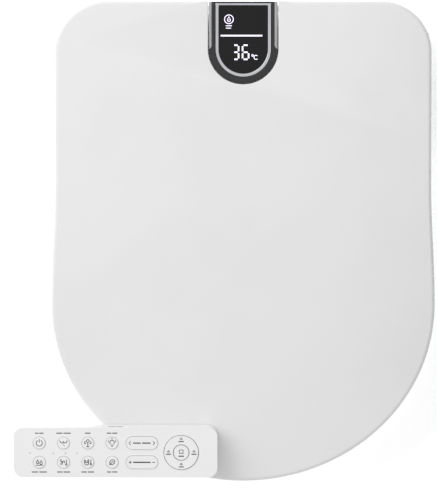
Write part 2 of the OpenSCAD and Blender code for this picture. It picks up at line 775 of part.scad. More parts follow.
module hoses() color("#c9d6dc") {
  hose([[inlet_end, port_y - 8, port_z], [inlet_end + 0.19 * inlet_run, port_y - 8, port_z],
    [heater_x0 - 0.25 * inlet_run, heater_y + 2, port_z], [heater_x0, heater_y + 2, port_z]], 4);
  hose([[heater_x1 - spout_in, heater_y, heater_z1 + 6], [heater_x1 - spout_in, heater_y, heater_z1 + 9],
    [diverter_x - 12, heater_y + 22, heater_z1 + 12], [diverter_x, diverter_y - 5, diverter_z1 + 6],
    [diverter_x, diverter_y - 5, diverter_z1]], 4);
  hose([[diverter_x, diverter_y + 7, diverter_z1], [diverter_x, diverter_y + 7, diverter_z1 + 4],
    [-28, 6, diverter_z1 + 8], [-nozzle_x, 13, 68], [-nozzle_x, 12.6, 62.6]], 3);
}

// ---- Warm air ----

module fan_housing() color("#3b3e44") translate([fan_x, fan_y, fan_z]) difference() {
  union() {
    cylinder(r = fan_r, h = fan_h);
    block(-fan_r, -fan_r + duct_w, -fan_r - 2, 0, 0, duct_h + 3);
  }
  translate([0, 0, 2]) cylinder(r = fan_r - 2, h = fan_h - 4);
  block(-fan_r + 2, -fan_r + duct_w - 2, -fan_r - 3, 0, 2, duct_h + 1);
  translate([0, 0, fan_h - 3]) cylinder(r = 15, h = 5);
  translate([0, 0, -1]) cylinder(r = 5, h = 5);
}

module fan_wheel() color("#d8dadd") translate([fan_x, fan_y, fan_z + 4]) difference() {
  union() {
    cylinder(r = 24, h = 1.6);
    cylinder(r = 5, h = 14);
    for (k = [0:15]) rotate(k * 22.5) translate([17, -0.6, 1]) cube([7, 1.2, 16]);
  }
  translate([0, 0, -1]) cylinder(r = 1.5 + run_gap, h = 20);
}

module fan_motor() color(STEEL) translate([fan_x, fan_y, 0]) {
  translate([0, 0, plate_t + unit_wall + 1]) cylinder(r = 15, h = fan_z - plate_t - unit_wall - 1.2);
  translate([0, 0, fan_z - 3]) cylinder(r = 1.5, h = 17);
}

// Duct from the fan down to the mouth in the nose.
module duct_side(g) polygon([[snout_y + 2.6 - g, duct_z + 1.5 - g], [unit_y + 4, duct_z + 1.5 - g],
  [duct_back + g, fan_z + 2 - g], [duct_back + g, fan_z + duct_h + 1 + g],
  [unit_y + 4, duct_z + duct_h + 1 + g], [snout_y + 2.6 - g, duct_z + duct_h - 1.5 + g]]);

module dryer_duct() color("#5b5e63") difference() {
  along_x(duct_x0 + 0.3, duct_x0 + duct_w - 0.3) intersection() {
    duct_side(1.5);
    translate([snout_y + 2.6, 0]) square([duct_back - snout_y - 2.6, big]);
  }
  along_x(duct_x0 + 2, duct_x0 + duct_w - 2) duct_side(0);
}

module dryer_flap() color(ABS_WHITE) {
  block(duct_x0 + 0.5, duct_x0 + duct_w - 0.5, snout_y - 2, snout_y - 0.5, duct_z - 0.5, duct_z + duct_h);
  x_rod(duct_x0 + 0.5, duct_x0 + duct_w - 0.5, 1.2, snout_y - 1.3, duct_z + duct_h);
}

module carbon_cartridge() color("#2f3136") {
  difference() {
    block(cart_x0, half_tray - 1, cart_y0, cart_y0 + cart_w, cart_z0, cart_z0 + cart_h);
    for (k = [0:3]) block(half_tray - 3, half_tray, cart_y0 + 3, cart_y0 + cart_w - 3,
      cart_z0 + 2.5 + 4 * k, cart_z0 + 4.5 + 4 * k);
  }
}

// ---- Electrics ----

module main_board() color(BOARD_GREEN) {
  top = board_level + 1.6;
  block(heater_x0 - 8, -38, -80, -14, board_level, top);
  block(heater_x0 + 2, heater_x0 + 22, -70, -52, top, top + 2.4);
  block(-70, -54, -50, -30, top, top + 2.9);
}

module power_board() color("#7a6a34") {
  block(case_x - 20, case_x - 18.4, -60, -30, 14, 60);
  block(-20, 30, 18, 36, 14, 44);
}

module night_light() color("#dfe8f4") block(lamp_x0 + 0.2, lamp_x0 + lamp_w - 0.2,
  snout_y + 0.2, snout_y + 2.4, lamp_z + 0.2, lamp_z + lamp_h - 0.2);

module cord_gland() color("#2e3034") difference() {
  union() {
    x_rod(side_pocket + 0.1, side_pocket + 3, 9, port_y, port_z);
    x_rod(side_pocket - 6, side_pocket + 14, 6, port_y, port_z);
  }
  x_rod(side_pocket - 7, side_pocket + 15, 3.6, port_y, port_z);
}

// ---- Remote ----

module on_remote() translate([rem_x, rem_y, z_lid(rem_y)]) rotate([lid_angle, 0, 0]) children();

function key_place(i) = [key_x0 + (i % 4) * key_pitch, i < 4 ? key_row : -key_row];

module pill(g) rounded(pill_len + 2 * g, pill_w + 2 * g, pill_w / 2 + g - 0.001);

module remote_front() color(ABS_WHITE) on_remote() difference() {
  translate([0, 0, rem_split]) linear_extrude(rem_t - rem_split) rounded(rem_len, rem_w, rem_corner);
  translate([0, 0, rem_split - 1]) linear_extrude(rem_t - rem_split - face_t + 1)
    rounded(rem_len - 2 * rem_wall, rem_w - 2 * rem_wall, rem_corner - rem_wall);
  for (i = [0:7]) translate(key_place(i)) cylinder(r = key_r + key_gap, h = big);
  for (s = [-1, 1]) translate([pill_x, s * key_row, 0]) linear_extrude(big) pill(key_gap);
  translate([ring_x, 0, 0]) cylinder(r = ring_r + 0.5, h = big);
  block(-8, 8, rem_w / 2 - 3, rem_w, 12, 17);
}

module remote_back() color(ABS_WHITE) on_remote() difference() {
  linear_extrude(rem_split - 0.02) rounded(rem_len, rem_w, rem_corner);
  translate([0, 0, rem_wall]) linear_extrude(rem_split)
    rounded(rem_len - 2 * rem_wall, rem_w - 2 * rem_wall, rem_corner - rem_wall);
  block(door_x0 - 0.2, rem_len, -door_w / 2 - 0.2, door_w / 2 + 0.2, -1, rem_wall + 1);
}

module battery_door() color(ABS_WHITE) on_remote() {
  intersection() {
    translate([0, 0, 0.05]) linear_extrude(door_t) rounded(rem_len, rem_w, rem_corner);
    block(door_x0, rem_len, -door_w / 2, door_w / 2, 0, door_t);
  }
}

module remote_board() color(BOARD_GREEN) on_remote()
  block(-rem_len / 2 + 5, rem_len / 2 - 5, -rem_w / 2 + 4, rem_w / 2 - 4, board_z, board_z + board_t);

module batteries() color("#c8a34a") on_remote() for (s = [-1, 1]) {
  x_rod(cell_x, cell_x + cell_len - 1.5, cell_r, s * (cell_r + 0.3), cell_r + 2.2);
  translate([s > 0 ? cell_x + cell_len - 1.6 : cell_x - 1.5, 0, 0])
    x_rod(0, 1.6, 2.7, s * (cell_r + 0.3), cell_r + 2.2);
}

module ir_window() color("#1a1418") on_remote()
  block(-7.8, 7.8, rem_w / 2 - 1.9, rem_w / 2 - 0.1, 12.2, 16.8);

module round_key(i) color("#f4f4f6") on_remote() translate(key_place(i)) {
  translate([0, 0, key_floor]) cylinder(r = key_r, h = rem_t + key_proud - key_floor);
  translate([0, 0, key_floor]) cylinder(r = key_r + flange, h = 0.8);
}

module key_power() round_key(0);

module key_rear_wash() round_key(1);

module key_kids_wash() round_key(2);

module key_front_wash() round_key(3);

module key_light() round_key(4);

module key_dryer() round_key(5);

module key_seat_heat() round_key(6);

module key_eco() round_key(7);

module rocker(s) color("#f4f4f6") on_remote() translate([pill_x, s * key_row, key_floor]) {
  linear_extrude(rem_t + key_proud - key_floor) pill(0);
  linear_extrude(0.5) pill(0.8);
}

module rocker_position() rocker(1);

module rocker_pressure() rocker(-1);

// Small ring between the board and the ring key, which lets it tip two ways.
module ring_gimbal() color(STEEL) on_remote() translate([ring_x, 0, key_floor - 0.35]) difference() {
  cylinder(r = 13, h = 0.4);
  translate([0, 0, -1]) cylinder(r = 11, h = 3);
}

module ring_key() color("#f4f4f6") on_remote() translate([ring_x, 0, 0]) difference() {
  translate([0, 0, key_floor + 0.7]) cylinder(r = ring_r, h = rem_t + key_proud - key_floor - 0.7);
  cylinder(r = stop_r + 0.6, h = big);
}

module stop_key() color("#ececf0") on_remote() translate([ring_x, 0, key_floor])
  cylinder(r = stop_r, h = rem_t + key_proud + 0.2 - key_floor);

lid();
lid_bumpers();
seat_top();
seat_bottom();
seat_heater();
seat_feet();
base_tray();
base_cover();
fixing_plate();
case_screws();
hinge_pins();
seat_damper();
lid_damper();
display_frame();
display_bright_frame();
display_side_strips();
display_glass();
display_board();
nozzle_cradle();
wash_nozzle();
bidet_nozzle();
wash_gear();
bidet_gear();
nozzle_motors();
inlet_valve();
water_heater();
air_pump();
diverter_valve();
hoses();
fan_housing();
fan_wheel();
fan_motor();
dryer_duct();
dryer_flap();
carbon_cartridge();
main_board();
power_board();
night_light();
release_button();
cord_gland();
remote_front();
remote_back();
battery_door();
remote_board();
batteries();
ir_window();
key_power();
key_rear_wash();
key_kids_wash();
key_front_wash();
key_light();
key_dryer();
key_seat_heat();
key_eco();
rocker_position();
rocker_pressure();
ring_gimbal();
ring_key();
stop_key();
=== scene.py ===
"""Electric bidet seat: lid, heated seat ring, washing unit with its display, and the remote on the lid."""
import json

import bmesh
import bpy
import numpy as np
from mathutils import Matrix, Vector

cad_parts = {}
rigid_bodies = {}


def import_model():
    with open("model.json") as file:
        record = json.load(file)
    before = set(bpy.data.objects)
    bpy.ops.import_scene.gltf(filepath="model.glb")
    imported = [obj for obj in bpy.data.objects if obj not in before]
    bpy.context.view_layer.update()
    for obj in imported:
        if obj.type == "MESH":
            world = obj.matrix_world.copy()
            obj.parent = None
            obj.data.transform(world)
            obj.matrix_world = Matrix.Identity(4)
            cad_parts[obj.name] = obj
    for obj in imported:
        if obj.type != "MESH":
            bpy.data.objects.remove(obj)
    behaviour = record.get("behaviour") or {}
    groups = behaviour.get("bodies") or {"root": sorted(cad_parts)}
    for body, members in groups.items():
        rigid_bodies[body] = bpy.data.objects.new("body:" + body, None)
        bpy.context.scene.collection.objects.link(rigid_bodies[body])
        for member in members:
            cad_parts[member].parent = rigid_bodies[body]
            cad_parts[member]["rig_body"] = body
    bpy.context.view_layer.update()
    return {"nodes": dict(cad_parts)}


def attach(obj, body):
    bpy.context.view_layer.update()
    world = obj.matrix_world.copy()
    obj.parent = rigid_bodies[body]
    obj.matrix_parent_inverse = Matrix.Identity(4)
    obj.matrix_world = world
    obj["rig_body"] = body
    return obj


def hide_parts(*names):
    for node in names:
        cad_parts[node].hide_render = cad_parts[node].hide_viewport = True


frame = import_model()

# ---- Studio ----
# A plain pale floor, a large soft box to the upper left, a weaker one to the right and an even room
# glow, with dark cards beside the object. The camera hangs straight above it and has a long lens.

FLOOR_SIDE = 8.0
FLOOR_GLOW = 0.45
CAMERA_HEIGHT = 9.0
VIEW_LEVEL = 0.095
VIEW_LENGTH = 0.5143
VIEW_CENTRE = (-0.0254, -0.2096)
SENSOR = 36.0

studio = bpy.context.scene
studio.view_settings.view_transform = "Standard"
world = bpy.data.worlds.new("room_glow")
studio.world = world
world.use_nodes = True
world.node_tree.nodes["Background"].inputs["Color"].default_value = (1, 1, 1, 1)
world.node_tree.nodes["Background"].inputs["Strength"].default_value = 0.65


def soft_box(name, place, aim, size, power, sheen=0.3):
    """A rectangular area light of the given size that faces a point. It shows in no glossy face. A twin with
    sheen times its power does, and lights nothing by diffuse rays; sheen 0 makes such a twin."""
    if sheen:
        twin = soft_box(name + "_sheen", place, aim, size, power * sheen, 0)
        twin.visible_diffuse = False
    light = bpy.data.lights.new(name, "AREA")
    light.shape = "RECTANGLE"
    light.size, light.size_y = size
    light.energy = power
    holder = bpy.data.objects.new(name, light)
    holder.location = place
    holder.rotation_euler = (Vector(aim) - Vector(place)).to_track_quat("-Z", "Y").to_euler()
    holder.visible_glossy = sheen == 0
    studio.collection.objects.link(holder)
    return holder


soft_box("key_softbox", (-1.7, 1.0, 1.7), (0, -0.2, 0.05), (2.4, 2.0), 42)
soft_box("fill_softbox", (1.7, -1.2, 1.5), (0, -0.2, 0.05), (1.4, 1.4), 3)

lens = bpy.data.cameras.new("overhead_camera")
lens.sensor_width = SENSOR
lens.lens = SENSOR * (CAMERA_HEIGHT - VIEW_LEVEL) / VIEW_LENGTH
lens.clip_end = 40
overhead = bpy.data.objects.new("overhead_camera", lens)
overhead.location = (*VIEW_CENTRE, CAMERA_HEIGHT)
studio.collection.objects.link(overhead)
studio.camera = overhead


class Wire:
    """A value in a material's nodes; arithmetic on it adds Math nodes, also with the number first."""

    def __init__(self, tree, socket):
        self.tree, self.socket = tree, socket

    def _math(self, operation, a, b):
        made = self.tree.nodes.new("ShaderNodeMath")
        made.operation = operation
        for slot, value in zip(made.inputs, (a, b)):
            if isinstance(value, Wire):
                self.tree.links.new(value.socket, slot)
            else:
                slot.default_value = value
        return Wire(self.tree, made.outputs[0])

    def __add__(self, other):
        return self._math("ADD", self, other)

    def __radd__(self, other):
        return self._math("ADD", other, self)

    def __sub__(self, other):
        return self._math("SUBTRACT", self, other)

    def __rsub__(self, other):
        return self._math("SUBTRACT", other, self)

    def __mul__(self, other):
        return self._math("MULTIPLY", self, other)

    def __rmul__(self, other):
        return self._math("MULTIPLY", other, self)


class Finish:
    """A material on one Principled shader, whose patterns are laid out in Object coordinates."""

    def __init__(self, name, **fixed):
        self.material = bpy.data.materials.new(name)
        self.material.use_nodes = True
        self.tree = self.material.node_tree
        self.shader = self.tree.nodes["Principled BSDF"]
        for socket, value in fixed.items():
            self.shader.inputs[socket.replace("_", " ")].default_value = value
        self.place = self.node("ShaderNodeTexCoord", out="Object")

    def node(self, kind, settings=None, out=0, **sockets):
        """Adds a node: its settings first, then each socket's value or link, named or numbered (n0, n1)."""
        made = self.tree.nodes.new(kind)
        for setting, value in (settings or {}).items():
            setattr(made, setting, value)
        for name, value in sockets.items():
            key = int(name[1:]) if name[0] == "n" and name[1:].isdigit() else name.replace("_", " ")
            if isinstance(value, Wire):
                self.tree.links.new(value.socket, made.inputs[key])
            else:
                made.inputs[key].default_value = value
        return Wire(self.tree, made.outputs[out])

    def noise(self, scale, detail=3, place=None):
        """Noise from 0 to 1, laid out in Object coordinates unless another place is given."""
        return self.node("ShaderNodeTexNoise", Vector=place or self.place, Scale=scale, Detail=detail)

    def stretch(self, x, y, z):
        """Object coordinates scaled along each axis."""
        return self.node("ShaderNodeMapping", Vector=self.place, Scale=(x, y, z))

    def step(self, value, low, high):
        """0 below low, 1 above high and smooth in between."""
        return self.node("ShaderNodeMapRange", {"interpolation_type": "SMOOTHSTEP"},
                         Value=value, From_Min=low, From_Max=high)

    def mix(self, mask, first, second):
        """Blend of two colours: first where mask is 0, second where it is 1."""
        first, second = (c if isinstance(c, Wire) else (*c, 1) for c in (first, second))
        return self.node("ShaderNodeMix", {"data_type": "RGBA"}, out=2, n0=mask, n6=first, n7=second)

    def bump(self, height, depth, strength=1.0):
        """Normal from a height pattern that stands depth metres tall."""
        return self.node("ShaderNodeBump", Height=height, Distance=depth, Strength=strength)

    def wire(self, **sockets):
        """Links patterns to the shader and returns the material."""
        for name, value in sockets.items():
            self.tree.links.new(value.socket, self.shader.inputs[name.replace("_", " ")])
        return self.material


def floor_finish():
    """Matt white board with a slight glow of its own, as a lit backdrop has."""
    board = Finish("pale_floor", Roughness=0.55, Emission_Strength=FLOOR_GLOW)
    board.shader.inputs["Emission Color"].default_value = (1, 1, 1, 1)
    cloud = board.noise(3)
    return board.wire(Base_Color=board.mix(cloud, (0.93, 0.93, 0.935), (0.95, 0.95, 0.955)))


def sheet_mesh(name, points, faces):
    """An object whose mesh is made from arrays of points and of faces."""
    made = bpy.data.meshes.new(name)
    made.from_pydata(np.asarray(points).tolist(), [], [list(map(int, f)) for f in faces])
    made.validate()
    piece = bpy.data.objects.new(name, made)
    studio.collection.objects.link(piece)
    return piece


corners = np.array([(-1, -1, 0), (1, -1, 0), (1, 1, 0), (-1, 1, 0)])
floor = sheet_mesh("floor", corners * FLOOR_SIDE / 2, [(0, 1, 2, 3)])
floor.data.materials.append(floor_finish())


def dark_card(name, start, end, low, high):
    """An upright dark card that hangs between two heights and isn't seen by the camera. Rounded edges that
    face it turn darker than the backdrop, so the outline stays readable."""
    (x0, y0), (x1, y1) = start, end
    card = sheet_mesh(name, [(x0, y0, low), (x1, y1, low), (x1, y1, high), (x0, y0, high)], [(0, 1, 2, 3)])
    felt = Finish(name + "_felt", Roughness=0.9)
    pile = felt.mix(felt.noise(60, 3), (0.01, 0.01, 0.01), (0.02, 0.02, 0.02))
    card.data.materials.append(felt.wire(Base_Color=pile))
    card.visible_camera = False


dark_card("right_card", (0.36, 0.15), (0.36, -0.66), 0.07, 0.18)
dark_card("front_card", (-0.25, -0.68), (0.30, -0.68), 0.06, 0.14)
dark_card("left_card", (-0.38, 0.15), (-0.38, -0.60), 0.07, 0.14)

# ---- Lid ----
# Injection-moulded lid in pearl-white gloss ABS, 3 mm thick, with a rolled edge and a skirt that comes down
# to the seat and ends higher behind the hinge. A notch at the rear clears the display. Two ears under it
# turn on the hinge pins, and rubber pads keep it off the seat.

LID_HALF = 0.1975
LID_SWELL = 0.004
LID_LENGTH = 0.494
NOSE_LENGTH = 0.182
STRAIGHT_LENGTH = 0.184
CORNER_RADIUS = 0.0525
REAR = 0.046
LID_REAR_Z = 0.120
LID_TIP_Z = 0.058
LID_SLOPE = (LID_REAR_Z - LID_TIP_Z) / LID_LENGTH
LID_WALL = 0.003
NOTCH_WALL = 0.0018
LID_EDGE = 0.004
NOTCH_EDGE = 0.0008
LID_CORNER = 0.0015
NOTCH_INNER = 0.0003
SKIRT_DEPTH = 0.008
NOTCH_DEPTH = 0.0042
SKIRT_ROUND = 0.0008
SKIRT_ROUND_IN = 0.0005
SKIRT_TURN_Y = -0.030
SKIRT_RUN = 0.045
NOTCH_RIM = 0.004
NOTCH_BLEND = 0.010
SEAT_FRONT_Z = 0.041
SEAT_SLOPE = np.tan(np.radians(4.9))
SEAT_GAP = 0.003
HINGE = np.array([0.020, 0.094])
FRONT = REAR - LID_LENGTH
DISPLAY_Y = REAR - 0.0492
NOTCH_RADIUS = 0.0362
NOTCH_CORNER = 0.0022


def lid_height(y):
    """The lid's top plane: highest at the rear edge and falling evenly to the tip."""
    return LID_REAR_Z - (REAR - y) * LID_SLOPE


def seat_height(y):
    """The seat's top plane, rising evenly from the tip."""
    return SEAT_FRONT_Z + (y - FRONT) * SEAT_SLOPE


def arc(centre, radius, start, end, count):
    """Points on an ellipse or circle between two angles in degrees: centre plus radius times (cos, sin)."""
    turn = np.radians(np.linspace(start, end, count))
    return np.stack([centre[0] + np.broadcast_to(radius, 2)[0] * np.cos(turn),
                     centre[1] + np.broadcast_to(radius, 2)[1] * np.sin(turn)], 1)


def right_side(inset=0.0):
    """Right half of the lid's outline from the tip to the rear edge's corner: a quarter ellipse, a side
    whose width falls by half a cosine wave, and a round corner."""
    nose_y = FRONT + NOSE_LENGTH
    nose = arc((0, nose_y), np.array([LID_HALF, NOSE_LENGTH]) - inset, 270, 360, 90)
    k = np.linspace(0, 1, 40)[1:]
    side = np.stack([LID_HALF - inset - LID_SWELL * (1 - np.cos(np.pi * k)) / 2,
                     nose_y + (REAR - STRAIGHT_LENGTH - nose_y) * k], 1)
    rear_half = LID_HALF - LID_SWELL
    straight = np.linspace(REAR - STRAIGHT_LENGTH, REAR - CORNER_RADIUS, 20)[1:-1]
    flank = np.stack([np.full(18, rear_half - inset), straight], 1)
    corner = arc((rear_half - CORNER_RADIUS, REAR - CORNER_RADIUS), CORNER_RADIUS - inset, 0, 90, 40)
    return np.concatenate([nose, side, flank, corner])


def mirrored(half):
    """A closed outline from its right half, whose first point lies on the middle plane."""
    ends = abs(half[-1, 0]) < 1e-6
    return np.concatenate([half, (half[-2:0:-1] if ends else half[:0:-1]) * (-1, 1)])


def lid_outline():
    """The lid's whole outline, with the notch: from the rear edge it turns down a small corner, runs along
    the notch's side and round its semicircle."""
    mouth = arc((NOTCH_RADIUS + NOTCH_CORNER, REAR - NOTCH_CORNER), NOTCH_CORNER, 90, 180, 8)
    edge = np.stack([np.linspace(LID_HALF - LID_SWELL - CORNER_RADIUS, mouth[0, 0], 24)[1:-1],
                     np.full(22, REAR)], 1)
    wall = np.stack([np.full(20, NOTCH_RADIUS), np.linspace(mouth[-1, 1], DISPLAY_Y, 22)[1:-1]], 1)
    bowl = arc((0, DISPLAY_Y), NOTCH_RADIUS, 0, -90, 40)
    return mirrored(np.concatenate([right_side(), edge, mouth, wall, bowl]))


def inward(outline):
    """Unit normals that point into a closed outline run anticlockwise, from the chord across each point."""
    chord = np.roll(outline, -1, 0) - np.roll(outline, 1, 0)
    normal = np.stack([-chord[:, 1], chord[:, 0]], 1)
    return normal / np.linalg.norm(normal, axis=1, keepdims=True)


def stack(name, rings, loop=False):
    """Surface through rings of equal count; the end rings are closed flat, or joined to each other."""
    rows, count = len(rings), len(rings[0])
    grid = np.arange(rows * count).reshape(rows, count)
    below, above = (grid, np.roll(grid, -1, 0)) if loop else (grid[:-1], grid[1:])
    quads = np.stack([below, np.roll(below, -1, 1), np.roll(above, -1, 1), above], -1).reshape(-1, 4)
    faces = quads.tolist()
    if not loop:
        faces += [grid[0, ::-1].tolist(), grid[-1].tolist()]
    piece = sheet_mesh(name, np.concatenate(rings), faces)
    return tidy_normals(piece)


def tidy_normals(piece):
    """Merges doubles, turns faces outwards and shades smooth except across sharp edges."""
    shape = bmesh.new()
    shape.from_mesh(piece.data)
    bmesh.ops.remove_doubles(shape, verts=shape.verts, dist=1e-6)
    bmesh.ops.recalc_face_normals(shape, faces=shape.faces)
    shape.to_mesh(piece.data)
    shape.free()
    piece.data.shade_smooth()
    piece.data.set_sharp_from_angle(angle=np.radians(35))
    return piece


def skirt_foot(y, top, full):
    """Height of the skirt's lower edge: SEAT_GAP above the seat as far back as SKIRT_TURN_Y, then a straight
    ramp towards the hinge that stays SKIRT_DEPTH below the top. Beside the notch, where full is 0, the
    skirt is no deeper than NOTCH_DEPTH, and it deepens evenly with full."""
    start = seat_height(SKIRT_TURN_Y) - 0.001
    rise = (lid_height(HINGE[0] - 0.005) - SKIRT_DEPTH - start) / SKIRT_RUN
    behind = np.minimum(start + (y - SKIRT_TURN_Y) * rise, top - SKIRT_DEPTH)
    foot = np.where(y < SKIRT_TURN_Y, seat_height(y) + SEAT_GAP, behind)
    deepest = NOTCH_DEPTH + (SKIRT_DEPTH - NOTCH_DEPTH) * full
    return np.where(full < 1, np.maximum(foot, top - deepest), foot)


def lid_shell():
    """Rings follow the outline: up round the edge (inset R - R cos t, drop R - R sin t), with the skirt
    below it, round its foot and up the inner wall; flat faces close the top and the underside. Edge and
    wall are full size all round and thin along the notch, with a short change between the two."""
    line = lid_outline()
    normal = inward(line)
    x, y = np.abs(line[:, 0]), line[:, 1]
    along_rear = np.clip((x - NOTCH_RADIUS - NOTCH_RIM) / NOTCH_BLEND, 0, 1) * (y > REAR - 1e-4)
    in_notch = (x < NOTCH_RADIUS + NOTCH_RIM) & (y > DISPLAY_Y - 0.05)
    full = np.where(in_notch, 0, np.maximum(along_rear, y < REAR - 1e-4))
    edge = NOTCH_EDGE + (LID_EDGE - NOTCH_EDGE) * full
    wall = NOTCH_WALL + (LID_WALL - NOTCH_WALL) * full
    inner = NOTCH_INNER + (LID_CORNER - NOTCH_INNER) * full
    top = lid_height(y)
    foot = skirt_foot(y, top, full)
    ceiling = top - LID_WALL

    def ring(inset, z):
        moved = line + normal * np.broadcast_to(inset, y.shape)[:, None]
        return np.column_stack([moved, np.broadcast_to(z, y.shape)])

    chamfer = SKIRT_ROUND * 0.3
    rings = [ring(edge * (1 - np.cos(t)), top - edge * (1 - np.sin(t)))
             for t in np.radians(np.linspace(90, 0, 8))]
    rings += [ring(0, foot + SKIRT_ROUND), ring(chamfer, foot + chamfer), ring(SKIRT_ROUND, foot),
              ring(wall - SKIRT_ROUND_IN, foot), ring(wall, foot + SKIRT_ROUND_IN),
              ring(wall, ceiling - inner), ring(wall + inner * 0.3, ceiling - inner * 0.3),
              ring(wall + inner, ceiling)]
    return stack("lid_shell", rings)


def moulded_white(name, colour, rough=0.26):
    """Gloss ABS: faint clouding of the colour, a fine ripple left by the mould, and wiped patches that
    change how sharply it shines."""
    plastic = Finish(name, IOR=1.5, Coat_Roughness=0.06)
    cloud = plastic.noise(9, 4)
    smear = plastic.noise(26, 6, plastic.stretch(1, 2.2, 1))
    ripple = plastic.noise(420, 2) * 0.6 + plastic.noise(1900, 1) * 0.4
    tint = tuple(c * 0.975 for c in colour)
    return plastic.wire(Base_Color=plastic.mix(plastic.step(cloud, 0.35, 0.65), tint, colour),
                        Roughness=rough + 0.12 * smear, Coat_Weight=0.08 + 0.1 * cloud,
                        Normal=plastic.bump(ripple, 0.000012, 0.5))


pearl_white = moulded_white("pearl_white_gloss", (0.85, 0.85, 0.85))


def fit(piece, finish, body, replaces=()):
    """Gives a piece its material, its body and, where it has them and the nodes it stands for."""
    piece.data.materials.clear()
    piece.data.materials.append(finish)
    if replaces:
        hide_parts(*replaces)
    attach(piece, body)
    return piece


def link_plate(name, outline, hole_centre, hole_radius, x0, x1):
    """A flat link between x0 and x1: its side view's outline, with rolled edges, and a round bore. The
    bore's points lie in the directions of the outline's points, seen from the bore's centre."""
    edge = 0.0008
    reach = outline - hole_centre
    direction = reach / np.linalg.norm(reach, axis=1, keepdims=True)
    normal = inward(outline)
    rings = []
    for inset, x in ((edge, x0), (edge * 0.3, x0 + edge * 0.3), (0, x0 + edge), (0, x1 - edge),
                     (edge * 0.3, x1 - edge * 0.3), (edge, x1)):
        rings.append(np.column_stack([np.full(len(outline), x), outline + normal * inset]))
    for x in (x1, x0):
        rings.append(np.column_stack([np.full(len(outline), x), hole_centre + direction * hole_radius]))
    return stack(name, rings, loop=True)


def resampled(corners, count):
    """A closed chain of corners, evenly divided into count points."""
    chain = np.concatenate([corners, corners[:1]])
    along = np.concatenate([[0], np.cumsum(np.linalg.norm(np.diff(chain, axis=0), axis=1))])
    at = np.linspace(0, along[-1], count, endpoint=False)
    return np.stack([np.interp(at, along, chain[:, 0]), np.interp(at, along, chain[:, 1])], 1)


EAR_X = 0.15587
EAR_THICK = 0.009
EAR_RADIUS = 0.009
EAR_SINK = 0.0025
PIN_BORE = 0.00405


def lid_ears():
    """Two short ears under the lid, each round about the hinge pin below and square above."""
    front, rear = HINGE[0] - EAR_RADIUS, HINGE[0] + EAR_RADIUS
    side = np.concatenate([arc(HINGE, EAR_RADIUS, 180, 360, 40),
                           [(rear, lid_height(rear) - EAR_SINK), (front, lid_height(front) - EAR_SINK)]])
    for sign, tag in ((1, "right"), (-1, "left")):
        x0, x1 = sorted((sign * EAR_X, sign * (EAR_X + EAR_THICK)))
        ear = link_plate(f"lid_ear_{tag}", resampled(side, 120), HINGE, PIN_BORE, x0, x1)
        fit(ear, pearl_white, "lid")


fit(lid_shell(), pearl_white, "lid", ["lid"])
lid_ears()


def rubber(name, colour):
    """Matt moulded rubber with a fine grain and dust in its hollows."""
    skin = Finish(name, IOR=1.5, Specular_IOR_Level=0.35)
    grain = skin.noise(2600, 3)
    dust = skin.noise(60, 5)
    pale = tuple(c * 1.25 + 0.02 for c in colour)
    return skin.wire(Base_Color=skin.mix(skin.step(dust, 0.5, 0.75), colour, pale),
                     Roughness=0.62 + 0.2 * dust, Normal=skin.bump(grain, 0.00004, 0.6))


pad_grey = rubber("pad_grey_rubber", (0.32, 0.33, 0.34))
SHARP_EDGE = np.radians(32)


def finished_copy(node, width, segments):
    """The CAD node's mesh with doubles merged and flat faces joined, and its edges rolled by a bevel."""
    source = frame["nodes"][node]
    shape = bmesh.new()
    shape.from_mesh(source.data)
    bmesh.ops.remove_doubles(shape, verts=shape.verts, dist=2e-6)
    bmesh.ops.dissolve_limit(shape, angle_limit=np.radians(0.6), verts=shape.verts, edges=shape.edges)
    made = bpy.data.meshes.new(node + "_moulding")
    shape.to_mesh(made)
    shape.free()
    piece = bpy.data.objects.new(node + "_moulding", made)
    studio.collection.objects.link(piece)
    made.shade_smooth()
    made.set_sharp_from_angle(angle=SHARP_EDGE)
    if width:
        rolled = piece.modifiers.new("rolled_edges", "BEVEL")
        rolled.width = width
        rolled.segments = segments
        rolled.limit_method = "ANGLE"
        rolled.angle_limit = SHARP_EDGE
        rolled.harden_normals = True
    return piece


def dress(node, finish, width, segments=3):
    """Puts a finished copy in the CAD node's place and on the same body, with the given finish."""
    return fit(finished_copy(node, width, segments), finish, frame["nodes"][node]["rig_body"],
               [node])


dress("lid_bumpers", pad_grey, 0.0008)

# ---- Seat ----
# Two-part ring in the same white ABS round an egg-shaped opening, with a heating film inside and rubber
# feet below. The upper shell has a rolled outer edge and sinks gently towards the opening; two arms at
# the rear carry it on the hinge pins.

SEAT_INSET = 0.0035
SEAT_SPLIT = 0.024
SEAT_FOOT = 0.012
SEAT_REAR = -0.095
OPENING_Y = -0.255
OPENING_HALF = 0.1055
OPENING_FRONT = 0.130
OPENING_REAR = 0.115
SEAT_ROUND = 0.007
CROWN_DIP = 0.0022
TUNNEL_HALF = 0.0825
TUNNEL_TOP = 0.033
TUNNEL_SLOPE = 0.002
INNER_LIP = 0.009
PAN_ROLL = 0.003
PAN_GAP = 0.0004
CORNER_POWER = 26.0
ARM_X = (0.13837, 0.14837)
ARM_RADIUS = 0.010
ARM_DEPTH = 0.021


